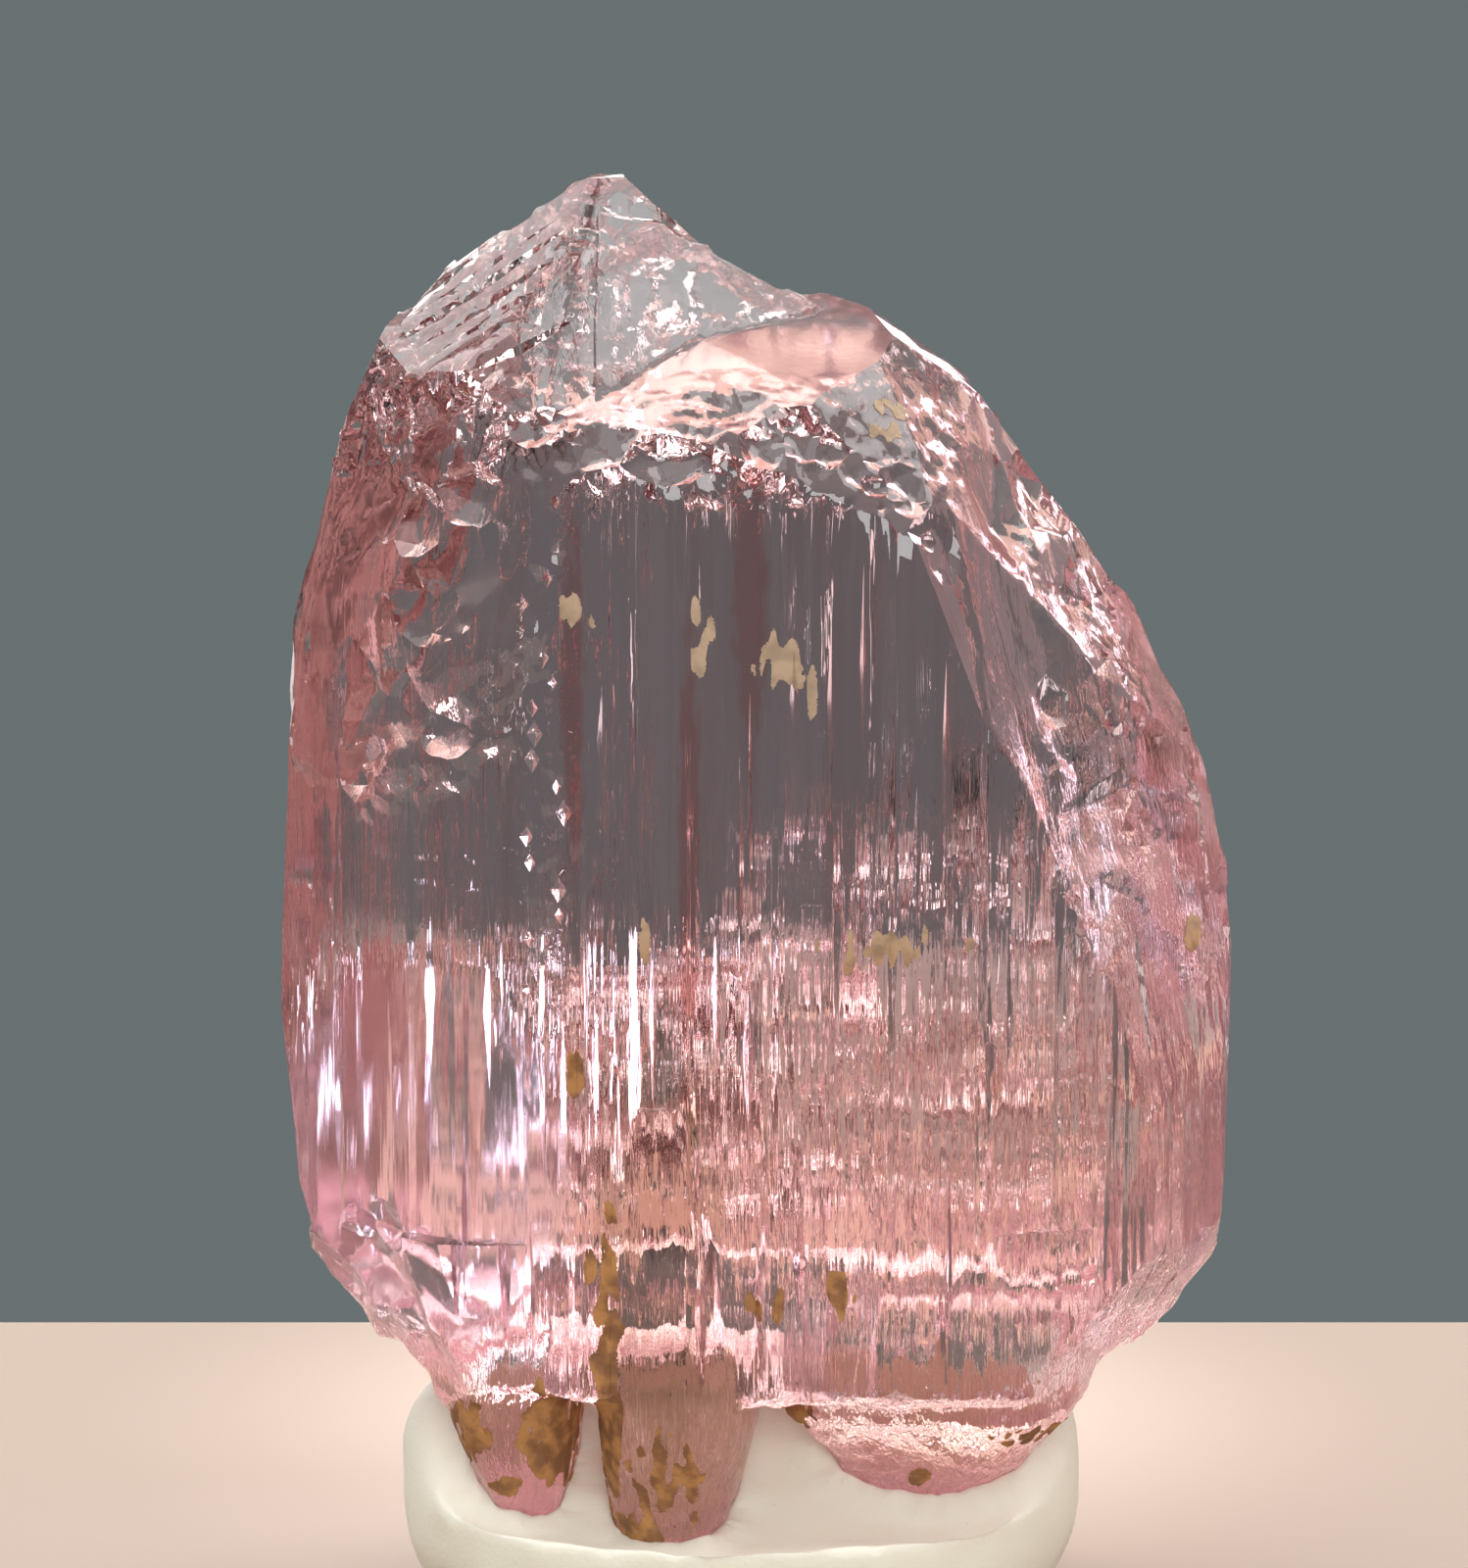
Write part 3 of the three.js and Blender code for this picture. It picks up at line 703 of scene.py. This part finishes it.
# %% Sizes of the relief
RELIEF = {
    "Step Depth": 0.12 * MM, "Step Width": 1.9 * MM, "Step Length": 26 * MM,
    "Rib Depth": 0.07 * MM, "Rib Width": 0.6 * MM, "Rib Length": 9 * MM,
    "Etch Depth": 0.2 * MM, "Etch Width": 0.8 * MM, "Etch Length": 7 * MM,
    "Etch Top": 29.3 * MM, "Swell Depth": 0.24 * MM, "Swell Size": 4.5 * MM,
    "Chip Depth": 0.48 * MM, "Chip Size": 4.6 * MM, "Pit Depth": 0.16 * MM,
    "Pit Size": 0.95 * MM, "Terrace Lean": 0.42, "Terrace Height": 4.4 * MM,
    "Terrace Width": 1.1 * MM, "Seed": 11.0,
}
RAGGED_START = 7 * MM            # how far up single etched grooves reach past the rest
print("relief:", len(RELIEF), "named inputs")

# %% Relief tree
def relief_tree():
    tree, given, result, place, normal = shape_tree("crystal relief", RELIEF)
    _, facing_back, facing = tree.split(normal)
    steep = tree.fade(tree.math("ABSOLUTE", facing), 0.55, 0.35)
    across, _, height = tree.split(place)

    def seed(offset):
        return tree.plus(given["Seed"], offset)

    def drawn_out(kind):
        width, length = given[f"{kind} Width"], given[f"{kind} Length"]
        return tree.vector("DIVIDE", place, tree.join(width, width, length))

    def grain(*size):
        return tree.vector("DIVIDE", place, tuple(v * MM for v in size))

    def even(kind):
        return tree.vector("DIVIDE", place, tree.join(*[given[f"{kind} Size"]] * 3))

    def flat_tops(kind, offset):
        colour = tree.cells(drawn_out(kind), seed(offset), "Color")
        return tree.times(tree.centred(tree.split(colour)[0]), given[f"{kind} Depth"])

    def facets(kind, offset):
        """Shallow dents of flat faces, as where chips have sprung off."""
        values = {"Vector": even(kind), "Rotation": (0.6, 0.4, 0.9)}
        turned = tree.add("ShaderNodeVectorRotate", values, rotation_type="EULER_XYZ")
        reach = tree.cells(turned, seed(offset), distance="MANHATTAN")
        return tree.times(tree.centred(reach), given[f"{kind} Depth"])

    # Steps, ribs and etched grooves
    grooves = tree.math("SUBTRACT", tree.cells(drawn_out("Etch"), seed(5)), 0.45)
    tufts = tree.noise(grain(1.3, 2.2, 13), 6.0)
    grooves = tree.times(grooves, tree.fade(tufts, 0.42, 0.56, 0.12, 1.0))
    ragged = tree.noise(grain(1.2, 1.2, 9), 4.0)
    rise = tree.fade(across, -3 * MM, 2 * MM, 0.0, 7.5 * MM)
    top = tree.plus(given["Etch Top"], rise, tree.times(ragged, -RAGGED_START))
    low = tree.fade(height, tree.plus(top, 4.4 * MM), tree.plus(top, 2.4 * MM))
    ribs = tree.times(flat_tops("Rib", 3), tree.plus(tree.times(low, 0.7), 0.3))
    upright = tree.plus(flat_tops("Step", 0), ribs, tree.times(grooves, given["Etch Depth"], low))

    # Treads on the back
    width = given["Terrace Width"]
    column = tree.vector("DIVIDE", place, tree.join(width, width, 7 * MM))
    chance, start, _ = tree.split(tree.cells(column, seed(21), "Color"))
    tall = tree.times(given["Terrace Height"], tree.fade(height, 51 * MM, 50 * MM, 0.5, 1.0))
    uneven = tree.noise(grain(3, 5, 8), 8.0)
    tread = tree.math("FRACT", tree.plus(tree.math("DIVIDE", height, tall), start, uneven))
    tread = tree.times(tree.math("SUBTRACT", 0.5, tread), tall)
    behind = tree.fade(facing_back, 0.55, 0.8)
    lifted = tree.plus(height, tree.times(tree.centred(ragged), 12 * MM))
    below_peak = tree.times(tree.fade(chance, 0.35, 0.6), low,
                            tree.fade(lifted, 12 * MM, 15 * MM),
                            tree.fade(across, -7.8 * MM, -7.0 * MM),
                            tree.fade(across, 12.5 * MM, 11.5 * MM))
    at_peak = tree.times(tree.fade(height, 50 * MM, 52 * MM), 1.5)
    lean = tree.math("SUBTRACT", below_peak, at_peak)
    terraces = tree.times(tread, given["Terrace Lean"], behind, lean)

    # Chips and pits in the broken zones
    wander = tree.noise(grain(2, 2, 2), 2.0)

    def zones(table):
        return ragged_mask(tree, nearest_reach(tree, place, table), wander, 0.3, 0.1)

    fine_zones = [BROKEN_ZONES["ledge"], BROKEN_ZONES["pitted flank"]]
    rough_strip = BROKEN_ZONES["rough strip"]
    broken = zones([zone for zone in BROKEN_ZONES.values()
                    if zone not in fine_zones and zone != rough_strip])
    fine = tree.math("MAXIMUM", tree.times(zones([rough_strip]), 0.25), zones(fine_zones))
    calm = zones(CALM_ZONES.values())
    whole = tree.times(tree.but_not(tree.math("MAXIMUM", broken, fine)),
                       tree.but_not(tree.times(calm, 0.8)))
    chips = tree.times(facets("Chip", 7), broken)
    pits = tree.times(facets("Pit", 9), tree.math("MAXIMUM", fine, tree.times(broken, 0.04)))

    # Swells on top, and the broken underside
    swells = tree.centred(tree.noise(even("Swell"), seed(0), detail=1.5))
    swells = tree.times(swells, given["Swell Depth"], tree.but_not(steep))
    under = tree.fade(facing, -0.35, -0.6)
    underside = tree.times(tree.plus(facets("Chip", 12), facets("Pit", 13)), under)
    raised = tree.plus(tree.times(upright, steep, whole), chips, pits, swells, underside,
                       terraces)
    push_out(tree, given, result, normal, raised)
    return tree.tree


print("relief tree ready")

# %% Crystal piece
SHARP_ANGLE = math.radians(30)
crystal = mesh_object("kunzite_crystal", crystal_points, crystal_faces)
shaped_by(crystal, relief_tree(), {**RELIEF, "Material": kunzite})
mark_sharp_edges(crystal, SHARP_ANGLE)
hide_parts("crystal")
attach(crystal, "root")
print("crystal:", len(crystal.data.polygons), "triangles,", crystal.data.materials[0].name)

# %% [markdown]
# ## The crust
# Water left iron rust on the prongs and in the grooves, and tan clay on a few faces above. It is
# a skin that hides the stone, with an edge eaten ragged, so it is made as a skin: the triangles
# of the stone that it covers are split finely, a noise picks some, and those are thickened.

# %% Where the crust is
CRUST_EDGE = 0.16 * MM
CRUST_OUT, CRUST_IN = 0.035 * MM, 0.02 * MM
CRUST_LEVEL, CRUST_RAGGED = 0.62, 0.75  # crust is where it is fuller than this, plus noise
PATCH_REACH, PATCH_MIDDLE = 1.3, 0.5  # where a patch ends, and how much fuller its middle is
FACES_FRONT = -0.15
CRUST_GRAIN = (0.45 * MM, 0.45 * MM, 1.3 * MM)
CRUST_PATCHES = (                # x, height, half width, half height in mm, and how full it is
    (-9.0, 9.8, 1.2, 2.5, 0.62), (-12.5, 9.8, 0.9, 1.7, 0.42), (-10.9, 7.5, 0.7, 0.4, 0.7),
    (-6.5, 12.6, 0.6, 6.6, 0.55), (-4.1, 8.3, 2.0, 2.4, 0.3), (-5.3, 5.8, 1.2, 0.9, 0.45),
    (0.1, 16.1, 1.0, 0.8, 0.45), (3.3, 16.5, 0.8, 1.0, 0.4), (-4.9, 31.8, 0.25, 0.8, 0.8),
    (-7.9, 26.1, 0.4, 1.1, 0.6), (-7.2, 17.9, 0.3, 0.7, 0.8), (1.4, 10.5, 0.9, 0.9, 0.6),
    (7.0, 7.6, 0.4, 0.4, 0.9), (12.0, 9.8, 1.9, 0.5, 0.45), (0.9, 43.7, 1.3, 1.5, 0.28),
    (-2.6, 44.9, 0.6, 2.0, 0.34), (-7.6, 45.7, 0.8, 1.2, 0.3), (5.4, 53.6, 1.0, 1.3, 0.2),
    (5.4, 31.4, 4.0, 1.3, 0.15), (18.8, 31.2, 0.35, 0.7, 0.7), (2.2, 42.5, 0.2, 1.0, 0.9),
)


def crust_fill(centres):
    """How full the crust is at each place: most in the middle of a patch, -1 outside all."""
    fill = np.full(len(centres), -1.0)
    for x, height, half_width, half_height, full in CRUST_PATCHES:
        reach = np.hypot((centres[:, 0] / MM - x) / half_width,
                         (centres[:, 2] / MM - height) / half_height)
        fuller = full + PATCH_MIDDLE * (1 - reach ** 2)
        fill = np.maximum(fill, np.where(reach < PATCH_REACH, fuller, -1.0))
    return fill


print(len(CRUST_PATCHES), "patches of crust")

# %% Picking and thickening the crust
def even_lengths(size):
    def lengths(points, faces, edges, rows):
        return np.linalg.norm(points[edges[:, 1]] - points[edges[:, 0]], axis=1) / size
    return lengths


def compact(points, faces):
    """The same triangles with only the points that they use."""
    used, faces = np.unique(faces, return_inverse=True)
    return points[used], faces.reshape(-1, 3)


def without_pinches(points, faces):
    """Drops triangles round any point where two parts of the crust only just touch."""
    for _ in range(6):
        edges, rows = edge_table(faces, len(points))
        rim = edges[np.bincount(rows.ravel(), minlength=len(edges)) == 1]
        pinched = np.bincount(rim.ravel(), minlength=len(points)) > 2
        faces = faces[~pinched[faces].any(axis=1)]
    return compact(points, faces)


def thickened(points, faces):
    """A closed skin: the triangles pushed out, the same ones from behind, and a wall between."""
    normals = np.zeros_like(points)
    for corner in range(3):
        np.add.at(normals, faces[:, corner], face_normals(points, faces))
    normals /= np.linalg.norm(normals, axis=1, keepdims=True)
    count = len(points)
    sides = np.vstack([faces[:, [0, 1]], faces[:, [1, 2]], faces[:, [2, 0]]])
    low, high = sides.min(axis=1), sides.max(axis=1)
    _, first, uses = np.unique(low * count + high, return_index=True, return_counts=True)
    a, b = sides[first[uses == 1]].T
    walls = np.vstack([np.stack([b, a, a + count], axis=1),
                       np.stack([b, a + count, b + count], axis=1)])
    shell = np.vstack([points + normals * CRUST_OUT, points - normals * CRUST_IN])
    return shell, np.vstack([faces, faces[:, ::-1] + count, walls])


def crust_arrays():
    points = np.array([v.co for v in crystal.data.vertices])
    faces = np.array([p.vertices for p in crystal.data.polygons])
    centres = points[faces].mean(axis=1)
    front = face_normals(points, faces)[:, 1] < FACES_FRONT
    near = (crust_fill(centres) > 0) & front & (centres[:, 1] < 0)
    points, faces = compact(points, faces[near])
    points, faces = split_long_edges(points, faces, even_lengths(CRUST_EDGE), passes=6, flips=1)
    centres = points[faces].mean(axis=1)
    grain = np.array([noise.noise(Vector(c / CRUST_GRAIN)) for c in centres])
    covered = crust_fill(centres) > CRUST_LEVEL + CRUST_RAGGED * grain
    return thickened(*without_pinches(points, faces[covered]))


print("crust shaping ready")

# %% Crust piece
def crust_material():
    material, tree, shader = new_material("crust")
    place = tree.place()
    grain = use(tree, MOTTLE, Place=place, Size=0.9 * MM, Detail=3.0, Seed=3)
    clay = tree.fade(tree.split(place)[2], 28 * MM, 34 * MM)
    light = tree.fade(grain, 0.35, 0.65)
    rust = tree.blend(light, (0.20, 0.085, 0.03, 1), (0.44, 0.21, 0.07, 1))
    tan = tree.blend(light, (0.34, 0.24, 0.155, 1), (0.48, 0.345, 0.235, 1))
    tree.feed(shader.inputs["Base Color"], tree.blend(clay, rust, tan))
    tree.feed(shader.inputs["Roughness"], tree.fade(grain, 0.2, 0.8, 0.6, 0.9))
    tree.feed(shader.inputs["Normal"], tree.bump(grain, 0.03 * MM))
    return material


crust = mesh_object("iron_crust", *crust_arrays())
crust.data.materials.append(crust_material())
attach(crust, "root")
print("crust:", len(crust.data.polygons), "triangles")

# %% [markdown]
# ## The putty
# The stone is held by a pinch of white putty, rolled soft and pressed round the prongs. The
# packed lump is faceted and stands a little off the crystal, so here it is split finely and
# smoothed, and a geometry tree gives it the broad dents and fine wrinkles that thumbs leave.

# %% Putty dents
PUTTY_DENTS = {"Dent Depth": 0.9 * MM, "Dent Size": 7 * MM, "Wrinkle Depth": 0.12 * MM,
               "Wrinkle Size": 1.8 * MM, "Seed": 3.0}


def dents_tree():
    tree, given, result, place, normal = shape_tree("thumbed putty", PUTTY_DENTS)
    raised = 0.0
    for kind in ("Dent", "Wrinkle"):
        grain = tree.vector("DIVIDE", place, tree.join(*[given[f"{kind} Size"]] * 3))
        wave = tree.centred(tree.noise(grain, given["Seed"]))
        raised = tree.plus(raised, tree.times(wave, given[f"{kind} Depth"]))
    raised = tree.times(raised, tree.fade(tree.split(place)[2], 0.2 * MM, 2.5 * MM))
    push_out(tree, given, result, normal, raised)
    return tree.tree


print("putty dents:", ", ".join(PUTTY_DENTS))

# %% [markdown]
# Putty is chalk in oil: pale, half glossy, and a little light sinks into it before coming out.
# Subsurface scattering does that, over a depth of about two millimetres. Specks of dust stick.

# %% Putty finish
def putty_material():
    material, tree, shader = new_material("putty")
    place = tree.place()
    cloud = use(tree, MOTTLE, Place=place, Size=6 * MM, Detail=3.0, Seed=2)
    dust = use(tree, MOTTLE, Place=place, Size=0.25 * MM, Detail=5.0, Seed=5)
    tint = tree.blend(cloud, (0.80, 0.79, 0.665, 1), (0.74, 0.73, 0.61, 1))
    specks = tree.fade(dust, 0.70, 0.76)
    tint = tree.blend(tree.times(specks, 0.5), tint, (0.55, 0.50, 0.42, 1))
    tree.feed(shader.inputs["Base Color"], tint)
    tree.feed(shader.inputs["Roughness"], tree.fade(cloud, 0.2, 0.8, 0.42, 0.62))
    tree.feed(shader.inputs["Normal"], tree.bump(dust, 0.03 * MM))
    shader.inputs["Subsurface Weight"].default_value = 0.25
    shader.inputs["Subsurface Radius"].default_value = (2 * MM, 1.8 * MM, 1.4 * MM)
    shader.inputs["Subsurface Scale"].default_value = 1.0
    return material


print("putty finish ready")

# %% [markdown]
# Soft putty closes up to what is pressed into it. Each of its points that is near the stone, and
# faces it, leans in until it all but touches, and each point inside the stone is pushed out. The
# nearest place on the stone comes from a search tree over its triangles.

# %% Putty piece
PUTTY_EDGE = 0.8 * MM
PUTTY_EDGE_AT_STONE = 0.4 * MM
CONTACT_GAP = 0.05 * MM
FACES_STONE = (-0.5, 0.0)        # putty leans in from the first, fully from the second
PULLED_IN = (1.8 * MM, 0.5 * MM)  # this far from the stone putty starts to lean in, then touches
PRESSED_FLAT = 0.3 * MM          # below this height the putty rests on the slab and stays put
PUTTY_PASSES = 6
PUTTY_UNDERSIDE = 0.05 * MM
PUTTY_SHARP_ANGLE = math.radians(60)
STONE = BVHTree.FromPolygons([v.co for v in crystal.data.vertices],
                             [p.vertices for p in crystal.data.polygons])


def away_from_stone(point):
    """The nearest place on the stone, the way out of it there, and how far off it is."""
    near, out, _, distance = STONE.find_nearest(point)
    return near, out, distance if (point - near).dot(out) > 0 else -distance


def putty_lengths(points, faces, edges, rows):
    middle = points[edges].mean(axis=1)
    near = np.array([away_from_stone(Vector(m))[2] for m in middle]) < PULLED_IN[0]
    near &= middle[:, 2] > PRESSED_FLAT
    step = points[edges[:, 1]] - points[edges[:, 0]]
    return np.linalg.norm(step, axis=1) / np.where(near, PUTTY_EDGE_AT_STONE, PUTTY_EDGE)


def press_against_stone(piece):
    """Leans the putty that is near the stone in to it, and pushes what is inside it out."""
    touching = 0
    normals = [vertex.normal.copy() for vertex in piece.data.vertices]
    for vertex, normal in zip(piece.data.vertices, normals):
        near, out, distance = away_from_stone(vertex.co)
        amount = ramp(max(distance, 0.0), *PULLED_IN) if vertex.co.z > PRESSED_FLAT else 0.0
        if distance > 0:
            amount *= ramp(normal.dot((near - vertex.co).normalized()), *FACES_STONE)
        if amount > 0:
            vertex.co = vertex.co.lerp(near + out * CONTACT_GAP, float(amount))
        touching += amount == 1
    return touching


putty_points, putty_faces = split_long_edges(*node_arrays("putty_base"), putty_lengths)
free = SOFTER * (putty_points[:, 2] > PUTTY_UNDERSIDE)
putty_points = softened(putty_points, putty_faces, free, PUTTY_PASSES)
putty = mesh_object("mounting_putty", putty_points, putty_faces)
shaped_by(putty, dents_tree(), {**PUTTY_DENTS, "Material": putty_material()})
touching = press_against_stone(putty)
mark_sharp_edges(putty, PUTTY_SHARP_ANGLE)
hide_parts("putty_base")
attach(putty, "root")
print("putty:", len(putty.data.polygons), "triangles,", touching, "points touch the stone")

# %% [markdown]
# ## The slab
# The crystal stands on a pale matt slab. Its far edge is straight and near, so that the wall
# behind shows over it, and it runs past the frame on the other sides.

# %% Slab
SLAB_BACK = 55 * MM
SLAB_FRONT = 150 * MM
SLAB_HALF_WIDTH = 170 * MM
SLAB_COLOUR = (0.365, 0.285, 0.23, 1)
SLAB_ROUGHNESS = 0.8


def pale_slab():
    points = [
        (-SLAB_HALF_WIDTH, -SLAB_FRONT, 0),
        (SLAB_HALF_WIDTH, -SLAB_FRONT, 0),
        (SLAB_HALF_WIDTH, SLAB_BACK, 0),
        (-SLAB_HALF_WIDTH, SLAB_BACK, 0),
    ]
    slab = mesh_object("slab", points, [(0, 1, 2, 3)])
    finish, _, shader = new_material("slab")
    shader.inputs["Base Color"].default_value = SLAB_COLOUR
    shader.inputs["Roughness"].default_value = SLAB_ROUGHNESS
    slab.data.materials.append(finish)


pale_slab()
print(f"slab: {2 * SLAB_HALF_WIDTH / MM:.0f} mm wide, its far edge {SLAB_BACK / MM:.0f} mm back")

# %% [markdown]
# ## The room
# Clear stone has little look of its own: it shows the room, bent. The room is a blue-grey wall,
# dark low down and pale overhead, so a colour ramp over the height of each direction is enough.

# %% Room
def grey_room():
    world = bpy.data.worlds.new("room")
    bpy.context.scene.world = world
    world.use_nodes = True
    nodes, links = world.node_tree.nodes, world.node_tree.links
    background = nodes["Background"]
    direction = nodes.new("ShaderNodeTexCoord")
    split = nodes.new("ShaderNodeSeparateXYZ")
    height = nodes.new("ShaderNodeValToRGB")
    links.new(direction.outputs["Generated"], split.inputs[0])
    links.new(split.outputs["Z"], height.inputs[0])
    links.new(height.outputs[0], background.inputs["Color"])
    low, high = height.color_ramp.elements
    low.position, low.color = 0.0, (0.14, 0.165, 0.17, 1)
    high.position, high.color = 1.0, (0.95, 0.93, 0.92, 1)
    for place, colour in ((0.35, (0.24, 0.26, 0.27, 1)), (0.62, (0.92, 0.87, 0.87, 1))):
        height.color_ramp.elements.new(place).color = colour


grey_room()
print("room:", bpy.context.scene.world.name)

# %% [markdown]
# ## The lights
# Soft boxes stand over the stone and round it: key, top, front, a rim light behind, and two that
# the broken top turns to the camera. None is in the picture, but each is seen through the stone.
# Two small panels stand close behind the etched lower half and make it glow, as is often done
# with frosted gems. A narrow soft beam lights the slab behind, which the lower half shows too.

# %% Lamp helpers
BEAM_SOFTNESS = 0.02


def add_lamp(name, kind, place, target, power, colour):
    """A lamp that the camera doesn't see, and how far off its target is."""
    data = bpy.data.lights.new(name, kind)
    data.energy, data.color = power, colour
    light = bpy.data.objects.new(name, data)
    bpy.context.scene.collection.objects.link(light)
    light.location = place
    light.visible_camera = False
    towards = Vector(target) - Vector(place)
    light.rotation_euler = towards.to_track_quat("-Z", "Y").to_euler()
    return data, towards.length


def area_light(name, place, size, power, colour=(1, 1, 1), target=AIM):
    data, _ = add_lamp(name, "AREA", place, target, power, colour)
    data.shape = "RECTANGLE"
    data.size, data.size_y = size


def beam(name, place, target, radius, power, colour):
    """A soft spot lamp: what it lights on the slab is what the stone's lower half shows."""
    data, distance = add_lamp(name, "SPOT", place, target, power, colour)
    data.spot_size = 2 * math.atan(radius / distance)
    data.spot_blend = 1.0
    data.shadow_soft_size = BEAM_SOFTNESS


print("lamp helpers ready")

# %% Lights
# A lamp has its name, its place in metres, its width and height, and its watts. The beam has its
# target and the radius of the round it lights in place of a size.
area_light("key", (-0.14, -0.16, 0.34), (0.30, 0.30), 0.26)
area_light("top", (0.12, 0.05, 0.38), (0.30, 0.30), 0.26)
area_light("front", (0.06, -0.40, 0.16), (0.24, 0.20), 0.78)
area_light("rim", (0.0, 0.34, 0.17), (0.34, 0.14), 0.46)
area_light("crown left", (-0.15, 0.09, 0.32), (0.30, 0.30), 0.76)
area_light("crown right", (0.17, 0.0, 0.31), (0.20, 0.20), 0.30)
area_light("right", (0.25, 0.10, 0.09), (0.20, 0.16), 0.11, (1.0, 0.56, 0.56))
area_light("low left", (-0.15, 0.26, 0.03), (0.12, 0.05), 0.022)
area_light("behind the lobe", (-0.0156, 0.022, 0.0203), (0.0126, 0.0126), 0.0027,
           (0.74, 0.80, 1.0), (-0.0156, 0.0, 0.0203))
beam("pool", (-0.03, 0.16, 0.30), (0.0, 0.036, 0.0), 0.019, 13.0, (1, 0.94, 1))
area_light("behind the grooves", (0.0045, 0.024, 0.0205), (0.012, 0.0125), 0.00018,
           (1.0, 0.86, 0.78), (0.0045, 0.0, 0.0205))
for lamp in [o for o in bpy.context.scene.objects if o.type == "LIGHT"]:
    print(f"{lamp.name}: {lamp.data.energy} W")

# %% [markdown]
# ## Colour, and the end
# The Standard view shows pale pinks as they are, where a film-like view would grey them.

# %% Colour view
bpy.context.scene.view_settings.view_transform = "Standard"
print("view:", bpy.context.scene.view_settings.view_transform)

# %% The end
print("the end")
